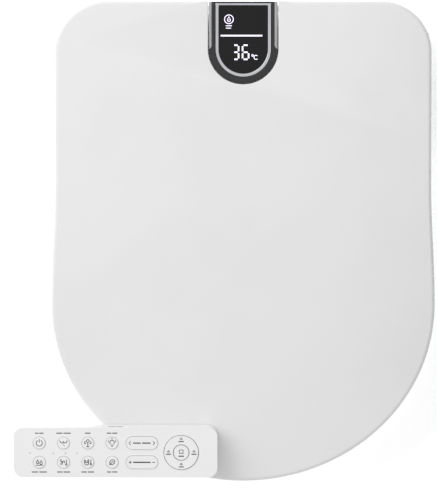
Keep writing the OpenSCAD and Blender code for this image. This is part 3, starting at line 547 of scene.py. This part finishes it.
def seat_rim(turn):
    """Distance from the opening's centre to the seat's outer edge, by direction: the lid's outline moved
    inwards, and a straight rear edge. The two blend as (a^-n + b^-n)^(-1/n), which rounds the corners."""
    line = mirrored(np.concatenate([right_side(SEAT_INSET), [(0, REAR - SEAT_INSET)]]))
    centre = np.array([0, OPENING_Y])
    angle = np.unwrap(np.arctan2(line[:, 1] - centre[1], line[:, 0]))
    order = np.argsort(angle)
    reach = np.linalg.norm(line - centre, axis=1)
    far = np.interp(turn, angle[order], reach[order], period=2 * np.pi)
    rear = (SEAT_REAR - OPENING_Y) / np.maximum(np.sin(turn), 1e-3)
    rear = np.where(np.sin(turn) > 0.05, rear, 9)
    return (far ** -CORNER_POWER + rear ** -CORNER_POWER) ** (-1 / CORNER_POWER)


def opening_rim(turn):
    """Distance from the opening's centre to its edge, by direction: two half ellipses, long in front and
    shorter behind."""
    length = np.where(np.sin(turn) > 0, OPENING_REAR, OPENING_FRONT)
    return 1 / np.sqrt((np.cos(turn) / OPENING_HALF) ** 2 + (np.sin(turn) / length) ** 2)


def seat_ring(name, turn, profile, closed=True):
    """Surface over direction and profile: each profile step gives a share of the way from opening to rim,
    an added distance in metres, and a rule for the height at a place. It runs all the way round, or, when
    it isn't closed, from the first direction to the last, with a flat face at both ends."""
    out, hole = seat_rim(turn), opening_rim(turn)
    rings = []
    for share, extra, rule in profile:
        reach = hole + (out - hole) * share + extra
        x, y = reach * np.cos(turn), OPENING_Y + reach * np.sin(turn)
        rings.append(np.column_stack([x, y, np.broadcast_to(rule(x, y), x.shape)]))
    if closed:
        return stack(name, rings, loop=True)
    steps, count = len(rings), len(turn)
    below = np.arange(steps * count).reshape(steps, count)
    above = np.roll(below, -1, 0)
    quads = np.stack([below[:, :-1], below[:, 1:], above[:, 1:], above[:, :-1]], -1).reshape(-1, 4)
    faces = quads.tolist() + [below[:, 0].tolist(), below[::-1, -1].tolist()]
    return tidy_normals(sheet_mesh(name, np.concatenate(rings), faces))


def joint_plane(x, y):
    """Height of the plane where the two shells meet, which rises over the nozzles' tunnel."""
    tunnel = np.clip((TUNNEL_HALF - np.abs(x)) / TUNNEL_SLOPE, 0, 1) * (y > OPENING_Y + 0.03)
    return SEAT_SPLIT + (TUNNEL_TOP + 0.001 - SEAT_SPLIT) * tunnel


def seat_upper():
    """Closed section: the outer wall, a rolled edge (radius R: inwards R - R cos t, down R - R sin t), a
    crown that sinks by CROWN_DIP (1 - share)^1.6, a rolled inner lip, and back along the joint plane."""
    turn = np.linspace(0, 2 * np.pi, 480, endpoint=False)
    roll, lip = SEAT_ROUND, INNER_LIP

    def under_top(depth):
        return lambda x, y: seat_height(y) - depth

    def over_joint(x, y):
        return joint_plane(x, y) + 0.002

    profile = [(1, 0, joint_plane), (1, 0, over_joint)]
    profile += [(1, -roll * (1 - np.cos(t)), under_top(roll * (1 - np.sin(t))))
                for t in np.radians(np.linspace(0, 80, 7))]
    profile += [(share, lip * (1 - share) - roll * share, under_top(CROWN_DIP * (1 - share) ** 1.6))
                for share in np.linspace(0.96, 0.04, 16)]
    profile += [(0, lip * (1 - np.sin(t)), under_top(CROWN_DIP + lip * (1 - np.cos(t))))
                for t in np.radians(np.linspace(10, 90, 8))]
    profile += [(0, 0, over_joint), (0, 0, joint_plane), (0.5, 0, joint_plane)]
    return seat_ring("seat_upper_shell", turn, profile)


def seat_lower():
    """Shallow pan under the upper shell: flat above, its lower edges rolled, open behind for the nozzles'
    tunnel."""
    gap = np.arctan2(SEAT_REAR - OPENING_Y, TUNNEL_HALF)
    turn = np.linspace(np.pi - gap, 2 * np.pi + gap, 420)

    def level(z):
        return lambda x, y: z

    top = level(SEAT_SPLIT - PAN_GAP)
    profile = [(1, 0, top), (1, 0, level(SEAT_FOOT + PAN_ROLL))]
    profile += [(1, -PAN_ROLL * (1 - np.cos(t)), level(SEAT_FOOT + PAN_ROLL * (1 - np.sin(t))))
                for t in np.radians(np.linspace(20, 90, 4))]
    profile += [(0, PAN_ROLL * (1 - np.sin(t)), level(SEAT_FOOT + PAN_ROLL * (1 - np.cos(t))))
                for t in np.radians(np.linspace(0, 90, 5))]
    profile += [(0, 0, top)]
    return seat_ring("seat_lower_shell", turn, profile, closed=False)


def seat_arms():
    """Two arms from the ring to the hinge pins: round about the pin, with straight edges that spread
    forwards."""
    ring_z = seat_height(SEAT_REAR)
    start = SEAT_REAR - 0.0008
    slope = (HINGE[1] - ARM_RADIUS - ring_z + ARM_DEPTH) / (HINGE[0] - SEAT_REAR)
    side = np.concatenate([arc(HINGE, ARM_RADIUS, -90, 90, 48), [(start, ring_z - 0.004)],
                           [(start, ring_z - ARM_DEPTH - 0.0008 * slope)]])
    for sign, tag in ((1, "right"), (-1, "left")):
        x0, x1 = sorted((sign * ARM_X[0], sign * ARM_X[1]))
        arm = link_plate(f"seat_arm_{tag}", resampled(side, 200), HINGE, PIN_BORE, x0, x1)
        fit(arm, pearl_white, "seat")


fit(seat_upper(), pearl_white, "seat", ["seat_top"])
fit(seat_lower(), pearl_white, "seat", ["seat_bottom"])
seat_arms()
dress("seat_feet", pad_grey, 0.0012)


def heating_film():
    """Copper-coloured film with a wavy heating track printed on it."""
    film = Finish("heating_film", Metallic=0.4, Roughness=0.45)
    track = film.node("ShaderNodeTexWave", {"wave_type": "BANDS"}, Vector=film.place, Scale=28.0,
                      Distortion=6.0)
    copper = film.mix(film.step(track, 0.45, 0.6), (0.42, 0.2, 0.09), (0.75, 0.42, 0.22))
    return film.wire(Base_Color=copper)


dress("seat_heater", heating_film(), 0)

# ---- Washing unit ----
# Tray and cover in white ABS, screwed together, on a steel plate that bolts to the bowl. The dampers and
# the hinge pins sit in the cover, and its pedestal in the lid's notch holds the display. Water, air and
# electric parts fill the inside.

unit_white = moulded_white("unit_white_gloss", (0.80, 0.80, 0.80), 0.24)
dress("base_tray", unit_white, 0.0003)
dress("base_cover", unit_white, 0.0009)
dress("dryer_flap", unit_white, 0.0003)


def brushed_metal(name, colour, rough=0.28):
    """Metal with fine scratches along X, which show in its shine and its relief."""
    metal = Finish(name, Metallic=1.0)
    scratch = metal.noise(90, 6, metal.stretch(1, 60, 60))
    stain = metal.noise(14, 4)
    dull = tuple(c * 0.8 for c in colour)
    return metal.wire(Base_Color=metal.mix(metal.step(stain, 0.35, 0.75), colour, dull),
                      Roughness=rough + 0.22 * scratch, Normal=metal.bump(scratch, 0.00001, 0.4))


steel = brushed_metal("brushed_steel", (0.60, 0.61, 0.63))
for metal_node in ("fixing_plate", "case_screws", "hinge_pins", "nozzle_motors", "fan_motor", "ring_gimbal"):
    dress(metal_node, steel, 0.0002, 2)


def dark_moulding():
    """Charcoal glass-filled plastic: speckled with short fibres and satin."""
    moulding = Finish("charcoal_moulding", IOR=1.48)
    fibre = moulding.noise(900, 4, moulding.stretch(1, 5, 1))
    speckled = moulding.mix(moulding.step(fibre, 0.5, 0.8), (0.045, 0.048, 0.055), (0.10, 0.105, 0.115))
    return moulding.wire(Base_Color=speckled, Roughness=0.42 + 0.2 * fibre,
                         Normal=moulding.bump(fibre, 0.00003, 0.5))


charcoal = dark_moulding()
for dark_node in ("seat_damper", "lid_damper", "fan_housing", "air_pump", "cord_gland", "dryer_duct"):
    dress(dark_node, charcoal, 0.0004, 2)


def circuit_board():
    """Green board: solder-mask sheen, straight copper tracks seen through it, and pale pads."""
    board = Finish("circuit_board", IOR=1.5)
    cells = board.node("ShaderNodeTexBrick", {"offset": 0.5}, out="Fac", Vector=board.place, Scale=180.0,
                       Mortar_Size=0.03, Brick_Width=0.9, Row_Height=0.35)
    spots = board.node("ShaderNodeTexVoronoi", out="Distance", Vector=board.place, Scale=260.0)
    track = board.mix(board.step(cells, 0.2, 0.8), (0.012, 0.10, 0.05), (0.03, 0.22, 0.11))
    pads = 1 - board.step(spots, 0.12, 0.17)
    return board.wire(Base_Color=board.mix(pads, track, (0.72, 0.66, 0.48)), Roughness=0.5 - 0.25 * pads,
                      Metallic=pads, Normal=board.bump(cells + pads, 0.00006, 0.5))


board_green = circuit_board()
for board_node in ("main_board", "power_board", "display_board", "remote_board"):
    dress(board_node, board_green, 0.0001, 1)


def plain_plastic(name, colour, rough):
    """Satin technical plastic with a fine spark-eroded grain and slight clouding."""
    plastic = Finish(name, IOR=1.49)
    texture = plastic.noise(1200, 3)
    cloud = plastic.noise(22, 3)
    deep = tuple(c * 0.9 for c in colour)
    return plastic.wire(Base_Color=plastic.mix(cloud, deep, colour), Roughness=rough + 0.15 * texture,
                        Normal=plastic.bump(texture, 0.00002, 0.5))


nozzle_plastic = plain_plastic("nozzle_plastic", (0.74, 0.74, 0.73), 0.22)
for pale_node in ("wash_nozzle", "bidet_nozzle", "nozzle_cradle", "wash_gear", "bidet_gear", "fan_wheel"):
    dress(pale_node, nozzle_plastic, 0.00015, 2)
dress("inlet_valve", brushed_metal("inlet_brass", (0.72, 0.58, 0.33), 0.25), 0.0003)
dress("water_heater", plain_plastic("heater_grey", (0.30, 0.32, 0.34), 0.4), 0.0012)
dress("diverter_valve", plain_plastic("valve_ivory", (0.66, 0.61, 0.50), 0.35), 0.0006)
dress("hoses", rubber("hose_blue_grey", (0.50, 0.58, 0.62)), 0)
dress("release_button", plain_plastic("button_grey", (0.50, 0.52, 0.54), 0.3), 0.0008)
dress("night_light", plain_plastic("frosted_lens", (0.72, 0.78, 0.88), 0.5), 0.0003)


def carbon_block():
    """Black cartridge of pressed carbon grains."""
    grains = Finish("carbon_grains")
    cell = grains.node("ShaderNodeTexVoronoi", out="Distance", Vector=grains.place, Scale=700.0)
    return grains.wire(Base_Color=grains.mix(cell, (0.012, 0.012, 0.014), (0.06, 0.06, 0.065)),
                       Roughness=0.85 - 0.3 * cell, Normal=grains.bump(cell, 0.0003, 0.8))


dress("carbon_cartridge", carbon_block(), 0.0006)

# ---- Display ----
# A tombstone-shaped window at the lid's rear: a chrome frame whose near-black colour is a painted dark
# reflection, a grey strip along each straight side that is a painted highlight on that chrome, a bright
# chrome inner frame, and black glass with the lit figures behind it.



def chrome_painted_dark_finish():
    """Plated metal whose near-black colour is a painted dark reflection, with a thin haze of handling and a
    very fine grain.
    """
    plating = Finish("dark_chrome", Metallic=1.0)
    haze = plating.noise(35, 4)
    fine = plating.noise(1500, 2)
    # The near-black colours are a painted dark reflection on the chrome; the haze between them is handling.
    return plating.wire(Base_Color=plating.mix(haze, (0.055, 0.055, 0.058), (0.10, 0.10, 0.105)),
                        Roughness=0.12 + 0.12 * haze, Normal=plating.bump(fine, 0.000004, 0.4))


# Outer frame: chrome with a painted dark reflection in its colour.
dark_chrome = chrome_painted_dark_finish()
bright_chrome = brushed_metal("bright_chrome", (0.80, 0.82, 0.85), 0.08)
# Matt grey plastic for the side strips: a painted highlight that stands for the chrome frame's bright side
# reflections.
strip_painted_highlight = plain_plastic("strip_painted_highlight", (0.46, 0.46, 0.47), 0.3)


def black_glass_finish():
    """Deep black glass with a few faint specks of dust."""
    glass = Finish("black_glass", Coat_Roughness=0.03, IOR=1.33)
    speck = glass.step(glass.noise(1400, 2), 0.70, 0.78)
    return glass.wire(Base_Color=glass.mix(speck, (0.002, 0.002, 0.003), (0.012, 0.012, 0.014)),
                      Roughness=0.05 + 0.25 * speck, Coat_Weight=0.3 - 0.2 * speck)


FRAME_DEPTH = 0.0056
FRAME_DROP = 0.0006
FRAME_HALF = 0.0352
FRAME_END = REAR - 0.0008
STRIP_INNER = 0.0321
GLASS_DROP = 0.0009
GLASS_DEPTH = 0.0033


def tomb(radius, end):
    """Outline with a half circle in front and straight sides back to the end, in even steps."""
    front = arc((0, DISPLAY_Y), radius, 180, 360, 48)
    side_y = np.linspace(DISPLAY_Y, end, 14)[1:]
    rear_x = np.linspace(radius, -radius, 16)[1:]
    right = np.stack([np.full(13, radius), side_y], 1)
    rear = np.stack([rear_x, np.full(15, end)], 1)
    left = np.stack([np.full(12, -radius), side_y[-2::-1]], 1)
    return np.concatenate([front, right, rear, left])


def glass_pane():
    """Flat pane: rings up the outline's wall and over a small rolled edge, closed flat below and above."""
    line, edge = tomb(0.025, REAR - 0.00475), 0.0004
    normal = inward(line)
    rings = [np.column_stack([line, lid_height(line[:, 1]) - GLASS_DEPTH])]
    for t in np.radians(np.linspace(0, 90, 5)):
        inset = line + normal * edge * (1 - np.cos(t))
        rings.append(np.column_stack([inset, lid_height(inset[:, 1]) - GLASS_DROP - edge * (1 - np.sin(t))]))
    return stack("glass_pane", rings)


def rolled_ring(name, outer, inner, drop, edge, steps):
    """Closed ring between two outlines with the same count of points: up the outer wall, over a rolled edge
    in so many steps, across the flat top, over the inner edge and down."""
    def ring(line, depth):
        return np.column_stack([line, lid_height(line[:, 1]) - depth])

    quarter = np.radians(np.linspace(0, 90, steps))
    rings = [ring(outer, FRAME_DEPTH)]
    for line, way, turns in ((outer, inward(outer), quarter), (inner, -inward(inner), quarter[::-1])):
        rings += [ring(line + way * edge * (1 - np.cos(t)), drop + edge * (1 - np.sin(t))) for t in turns]
    rings += [ring(inner, FRAME_DEPTH)]
    return stack(name, rings, loop=True)


def bright_frame():
    """Inner frame between two tombstone outlines."""
    return rolled_ring("bright_frame", tomb(0.02868, REAR - 0.00212), tomb(0.0251, REAR - 0.0047),
                       0.0004, 0.0011, 5)


def dark_frame():
    """Outer frame, whose outline is narrower beside the strips, with a short step where they begin."""
    line = tomb(FRAME_HALF, FRAME_END)
    beside = line[:, 1] > DISPLAY_Y + 1e-5
    line[beside, 0] = np.clip(line[beside, 0], -STRIP_INNER, STRIP_INNER)
    return rolled_ring("dark_frame", line, tomb(0.02872, REAR - 0.0021), FRAME_DROP, 0.0006, 4)


def side_strip(sign):
    """A straight grey bar beside the frame, a painted highlight along the chrome's side: a rectangle seen
    from above, its top edges rolled.
    """
    x0, x1 = sorted((sign * (STRIP_INNER + 0.00003), sign * FRAME_HALF))
    line = resampled(np.array([(x0, DISPLAY_Y), (x1, DISPLAY_Y), (x1, FRAME_END), (x0, FRAME_END)]), 212)
    normal = inward(line)
    edge = 0.0007
    rings = [np.column_stack([line, lid_height(line[:, 1]) - FRAME_DEPTH])]
    for t in np.radians(np.linspace(0, 90, 5)):
        at = line + normal * edge * (1 - np.cos(t))
        rings.append(np.column_stack([at, lid_height(at[:, 1]) - FRAME_DROP - edge * (1 - np.sin(t))]))
    return stack("painted_highlight_strip_right" if sign > 0 else "painted_highlight_strip_left", rings)


fit(glass_pane(), black_glass_finish(), "base", ["display_glass"])
# Outer frame in chrome whose near-black colour is a painted dark reflection.
fit(dark_frame(), dark_chrome, "base", ["display_frame"])
fit(bright_frame(), bright_chrome, "base", ["display_bright_frame"])
# Side strips: grey bars that paint in the chrome frame's highlights.
for sign in (1, -1):
    fit(side_strip(sign), strip_painted_highlight, "base", ["display_side_strips"])


def glowing(name, colour, strength):
    """Lit figures: an even glow with the faint grain of the diffusing film over the lamps."""
    light = Finish(name, Roughness=0.4, Emission_Strength=strength)
    grain = light.noise(2500, 1)
    dim = tuple(c * 0.86 for c in colour)
    shade = light.mix(grain, dim, colour)
    return light.wire(Base_Color=shade, Emission_Color=shade)


figure_light = glowing("display_figures", (0.74, 0.70, 0.86), 1.15)
GLASS_LIFT = 0.00006
MARK_DEPTH = 0.00005
MM = 0.001


def ribbon(points, width, closed=False):
    """A flat stroke along a chain of points: at each one the two edges lie half the width to either side,
    along the mitre of its two neighbours. Returns points in the plane and quads."""
    chain = np.asarray(points, float)
    if closed:
        ahead, behind = np.roll(chain, -1, 0) - chain, chain - np.roll(chain, 1, 0)
    else:
        step = np.diff(chain, axis=0)
        ahead, behind = np.concatenate([step, step[-1:]]), np.concatenate([step[:1], step])
    ahead = ahead / np.linalg.norm(ahead, axis=1, keepdims=True)
    behind = behind / np.linalg.norm(behind, axis=1, keepdims=True)
    mitre = ahead + behind
    mitre = mitre / np.maximum(np.linalg.norm(mitre, axis=1, keepdims=True), 1e-6)
    across = np.stack([-mitre[:, 1], mitre[:, 0]], 1)
    spread = width / 2 / np.maximum(np.abs((across * np.stack([-ahead[:, 1], ahead[:, 0]], 1)).sum(1)), 0.5)
    both = np.concatenate([chain + across * spread[:, None], chain - across * spread[:, None]])
    count = len(chain)
    i = np.arange(count if closed else count - 1)
    j = (i + 1) % count
    return both, np.stack([i, i + count, j + count, j], 1)


def trace(points, width, closed=False):
    """One stroke of a drawing: its points in millimetres, its width, and whether it closes on itself."""
    return np.asarray(points, float), width, closed


def marks(name, strokes, place, lift):
    """All strokes of one drawing as one thin piece: each ribbon once below and once MARK_DEPTH above, and
    walls along its rims. Place turns flat coordinates and a height, in metres, into a place on the object."""
    points, faces, base = [], [], 0
    for chain, width, closed in strokes:
        flat, quads = ribbon(chain, width, closed)
        x, y = flat.T * MM
        points += [place(x, y, lift), place(x, y, lift + MARK_DEPTH)]
        count = len(flat)
        faces += (quads + base + count).tolist() + (quads[:, ::-1] + base).tolist()
        left, right = list(range(count // 2)), list(range(count - 1, count // 2 - 1, -1))
        for rim in [left, right] if closed else [left + right]:
            faces += [[base + a, base + b, base + count + b, base + count + a]
                      for a, b in zip(rim, rim[1:] + rim[:1])]
        base += 2 * count
    return tidy_normals(sheet_mesh(name, np.concatenate(points), faces))


def on_glass(x, y, lift):
    """A place on the display's glass, which lies just under the lid's top plane."""
    return np.column_stack([x, y, lid_height(y) - GLASS_DROP + lift])


def circle(x, y, radius, start=0, end=360, count=28):
    """Points round a circle or part of one."""
    whole = end - start == 360
    turn = np.radians(np.linspace(start, end, count, endpoint=not whole))
    return np.stack([x + radius * np.cos(turn), y + radius * np.sin(turn)], 1)


SEGMENTS = {"a": ((0, 2), (1, 2)), "b": ((1, 2), (1, 1)), "c": ((1, 1), (1, 0)), "d": ((0, 0), (1, 0)),
            "e": ((0, 1), (0, 0)), "f": ((0, 2), (0, 1)), "g": ((0, 1), (1, 1))}


def digit(lit, x, y, width, height, bar):
    """A seven-segment figure: its lit segments, each a bar that stops short of the corners."""
    made = []
    for key in lit:
        start, end = np.array(SEGMENTS[key], float) * (width, height / 2) + (x, y)
        trim = (end - start) / np.linalg.norm(end - start) * bar * 0.62
        made.append(trace([start + trim, end - trim], bar))
    return made


FIGURE_X = -1.0
FIGURE_Y = -13.8
FIGURE_HEIGHT = 14.4
FIGURE_BAR = 1.6
drop_outline = [(-14.7, 29.8), (-16.4, 26.5), (-15.9, 25.1), (-14.7, 24.6), (-13.5, 25.1), (-13.0, 26.5)]
drawing = [trace([(FIGURE_X - 22.2, 10.4), (FIGURE_X + 20.6, 10.4)], 1.6),
           *digit("abcdg", FIGURE_X - 9.1, FIGURE_Y, 5.3, FIGURE_HEIGHT, FIGURE_BAR),
           *digit("acdefg", FIGURE_X + 0.3, FIGURE_Y, 6.2, FIGURE_HEIGHT, FIGURE_BAR),
           trace(circle(FIGURE_X + 10.6, -9.8, 0.9, count=16), 0.7, True),
           trace(circle(FIGURE_X + 14.1, -11.8, 2.1, 45, 315, 18), 0.8),
           trace(circle(-14.7, 27.1, 4.5), 0.8, True),
           trace(drop_outline, 0.6, True),
           trace([(-14.7, 27.1), (-14.7, 26.0)], 0.8),
           trace([(-17.8, 20.5), (-11.6, 20.5)], 0.8),
           trace([(-17.8, 18.1), (-12.6, 18.1)], 0.8)]
fit(marks("display_figures", drawing, on_glass, GLASS_LIFT), figure_light, "base")

# ---- Remote ----
# A slim two-part white case, moulded in ABS, that lies loose on the closed lid: eight round keys in two
# rows, two rocker keys, a ring key with the stop key in its middle, and two cells under a sliding door.

REMOTE_X = -0.1315
REMOTE_Y = FRONT + 0.0325
REMOTE_TILT = np.arctan(LID_SLOPE)
REMOTE_TOP = 0.022
KEY_PROUD = 0.0008
KEY_START = -78.5
KEY_PITCH = 25.0
KEY_ROW = 10.0

remote_white = moulded_white("remote_white_satin", (0.93, 0.93, 0.93), 0.30)
key_white = moulded_white("key_white_satin", (0.93, 0.93, 0.93), 0.34)
for shell in ("remote_front", "remote_back"):
    dress(shell, remote_white, 0.0016, 4)
dress("battery_door", remote_white, 0.0003)
dress("ir_window", black_glass_finish(), 0.0002)
KEYS = ("key_power", "key_rear_wash", "key_kids_wash", "key_front_wash",
        "key_light", "key_dryer", "key_seat_heat", "key_eco")
for key in (*KEYS, "rocker_position", "rocker_pressure", "ring_key", "stop_key"):
    dress(key, key_white, 0.0004)


SLEEVE_BREAK = REMOTE_X + 0.058


def cell_wrap():
    """Battery sleeve: copper-gold on one side of SLEEVE_BREAK and near-black past it, with a metal sheen."""
    sleeve = Finish("cell_sleeve", Metallic=0.6)
    along = sleeve.node("ShaderNodeSeparateXYZ", out="X", Vector=sleeve.place)
    band = sleeve.step(along, SLEEVE_BREAK, SLEEVE_BREAK + 0.0005)
    scuff = sleeve.noise(400, 4)
    return sleeve.wire(Base_Color=sleeve.mix(band, (0.62, 0.38, 0.14), (0.05, 0.05, 0.055)),
                       Roughness=0.22 + 0.2 * scuff)


dress("batteries", cell_wrap(), 0.0004)


def on_remote(x, y, z):
    """A place on the remote, which lies on the lid's slope: its length runs along X, and its width and its
    height are turned by the slope's angle."""
    c, s = np.cos(REMOTE_TILT), np.sin(REMOTE_TILT)
    z = np.broadcast_to(z, np.shape(x))
    return np.column_stack([REMOTE_X + x, REMOTE_Y + y * c - z * s, lid_height(REMOTE_Y) + y * s + z * c])


def ink(name, colour):
    """Pad-printed ink, slightly uneven in tone and in shine."""
    print_ink = Finish(name, IOR=1.45)
    wear = print_ink.noise(1800, 3)
    light = tuple(c + 0.06 for c in colour)
    return print_ink.wire(Base_Color=print_ink.mix(print_ink.step(wear, 0.55, 0.8), colour, light),
                          Roughness=0.45 + 0.2 * wear)


key_ink = ink("key_ink", (0.025, 0.025, 0.03))
label_ink = ink("label_ink", (0.12, 0.12, 0.125))
INK_LIFT = 0.00002
THIN = 0.7


def thin(*corners):
    """A thin open line through corners."""
    return trace(corners, THIN)


def curve(points, closed=False):
    """A thin line along a curve."""
    return trace(points, THIN, closed)


def drop(x, y, size):
    """A water drop: a point above and a round belly below."""
    return np.concatenate([[(x, y + size)], circle(x, y - size * 0.25, size * 0.55, 150, 390, 12)])


def blade(turn):
    """A fan's blade, part of a circle whose centre lies off the hub in a direction in degrees."""
    a = np.radians(turn)
    return curve(circle(-1.2 + 1.35 * np.cos(a), 0.3 + 1.35 * np.sin(a), 0.85, turn - 60, turn + 130, 9))


ICONS = {
    "key_power": [curve(circle(0, 0, 2.6, 120, 420, 24)), thin((0, 0.6), (0, 3.4))],
    "key_rear_wash": [
        thin((-3.4, 2.2), (-2.2, 0.2), (-0.4, 0.2), (0, 1.4), (0.4, 0.2), (2.2, 0.2), (3.4, 2.2)),
        *(thin((0.3 * k * k - 0.3, -0.8 - 0.85 * k), (0.3 * k * k - 0.1, -1.2 - 0.85 * k))
          for k in range(3))],
    "key_kids_wash": [
        curve(circle(0, 1.8, 1.2, count=16), True), curve(circle(-1.9, 0.4, 1.0, 90, 300, 12)),
        curve(circle(1.9, 0.4, 1.0, -120, 90, 12)), thin((0, 0.4), (0, -3.2)),
        thin((-1.4, -3.2), (1.4, -3.2))],
    "key_front_wash": [
        curve(circle(0, 0.5, 1.9, -50, 230, 20)), thin((-0.9, -1.8), (0.9, -1.8)),
        thin((-0.6, -2.7), (0.6, -2.7)),
        *(curve(circle(0, 0.5, 3.2, turn - 14, turn + 14, 5)) for turn in (20, 90, 160))],
    "key_light": [
        curve(drop(-1.4, 0.3, 1.9), True), curve(drop(1.6, -0.4, 1.9), True),
        thin((-3, -2.8), (-1.5, -2.3), (0, -2.8), (1.5, -2.3), (3, -2.8))],
    "key_dryer": [
        curve(circle(-1.2, 0.3, 0.7, count=10), True), blade(0), blade(120), blade(240),
        thin((2.4, 2.2), (2.4, -1.2)), curve(circle(2.4, -1.9, 0.7, count=10), True)],
    "key_seat_heat": [
        thin((-2.8, 2.6), (-2.8, -0.4), (-2.2, -2.2), (0.2, -2.2), (0.8, -0.4), (0.8, 2.6)),
        thin((-1.9, 2.0), (-1.9, -0.2), (-0.1, -0.2), (-0.1, 2.0)),
        thin((2.6, 2.4), (2.6, -1.0)), curve(circle(2.6, -1.7, 0.7, count=10), True)],
    "key_eco": [
        thin((-2.4, -2.4), (-0.6, -0.6), (1.2, 1.0)),
        curve([*circle(0.6, -0.4, 2.6, 60, 190, 14), *circle(-0.4, 0.6, 2.6, 240, 370, 14)], True)],
}
LABEL_LENGTHS = {"key_power": 8.8, "key_rear_wash": 14.9, "key_kids_wash": 5.6, "key_front_wash": 10.7,
                 "key_light": 15.6, "key_dryer": 13.3, "key_seat_heat": 12.9, "key_eco": 10.5}
LABEL_AWAY = 10.2
ICON_SCALE = 1.2


def moved(strokes, x, y, scale=1.0):
    """The same strokes scaled about their origin, all but their width, and moved."""
    return [trace(chain * scale + (x, y), width, closed) for chain, width, closed in strokes]


def face_place(x, y, lift):
    """A place on the remote's flat face."""
    return on_remote(x, y, REMOTE_TOP + lift)


def key_face(x, y, lift):
    """A place on the flat top of a key."""
    return on_remote(x, y, REMOTE_TOP + KEY_PROUD + lift)


face_marks = []
for i, key in enumerate(KEYS):
    side = 1 if i < 4 else -1
    x = KEY_START + (i % 4) * KEY_PITCH
    icon = moved(ICONS[key], x, side * KEY_ROW, ICON_SCALE)
    fit(marks(key + "_print", icon, key_face, INK_LIFT), key_ink, key)
    long = LABEL_LENGTHS[key]
    words = ((0, 0.42), (0.5, 1)) if long > 8 else ((0, 1),)
    bar_y = side * (KEY_ROW + LABEL_AWAY)
    face_marks += [trace([(x + long * (a - 0.5), bar_y), (x + long * (b - 0.5), bar_y)], 1.1)
                   for a, b in words]
for lamp_x in (-88.0, -64.1, -51.5, -39.5):
    face_marks.append(trace(circle(lamp_x, -0.6, 0.35, count=10), 0.35, True))
fit(marks("remote_labels", face_marks, face_place, INK_LIFT), label_ink, "remote")

ROCKER_X = 27.2
position_marks = [trace([(-11.4, 1.9), (-13.2, 0), (-11.4, -1.9)], 0.6),
                  trace([(11.4, 1.9), (13.2, 0), (11.4, -1.9)], 0.6),
                  trace([(-9, 0), (-1.2, 0)], 1.2), trace([(0.2, 0), (9, 0)], 1.2)]
pressure_marks = [trace([(-13.6, 0), (-10.6, 0)], 0.7), trace([(-12.1, 1.5), (-12.1, -1.5)], 0.7),
                  trace([(10.6, 0), (13.6, 0)], 0.7), trace([(-9, 0), (9, 0)], 1.2)]
for key, strokes, side in (("rocker_position", position_marks, 1), ("rocker_pressure", pressure_marks, -1)):
    fit(marks(key + "_print", moved(strokes, ROCKER_X, side * KEY_ROW), key_face, INK_LIFT),
        key_ink, key)

RING_X = 67.7
RING_REACH = 13.2
ring_marks = []
for turn in np.radians((0, 90, 180, 270)):
    arrow = [trace([(-1.7, 1.3), (0, 0.2), (1.7, 1.3)], 0.5),
             trace(circle(0, 1.9, 0.55, count=10), 0.4, True), trace([(-2.6, -1.6), (2.6, -1.6)], 1.0)]
    ring_marks += moved(arrow, RING_X + RING_REACH * np.cos(turn), RING_REACH * np.sin(turn))
fit(marks("ring_key_print", ring_marks, key_face, INK_LIFT), key_ink, "ring_key")

STOP_LIFT = 0.0002
stop_marks = moved([trace([(-1.9, 2.9), (1.9, 2.9), (1.9, -0.7), (-1.9, -0.7)], 0.6, True),
                    trace([(-2.8, -3.6), (2.8, -3.6)], 1.1)], RING_X, 0)
fit(marks("stop_key_print", stop_marks, key_face, INK_LIFT + STOP_LIFT), key_ink, "stop_key")
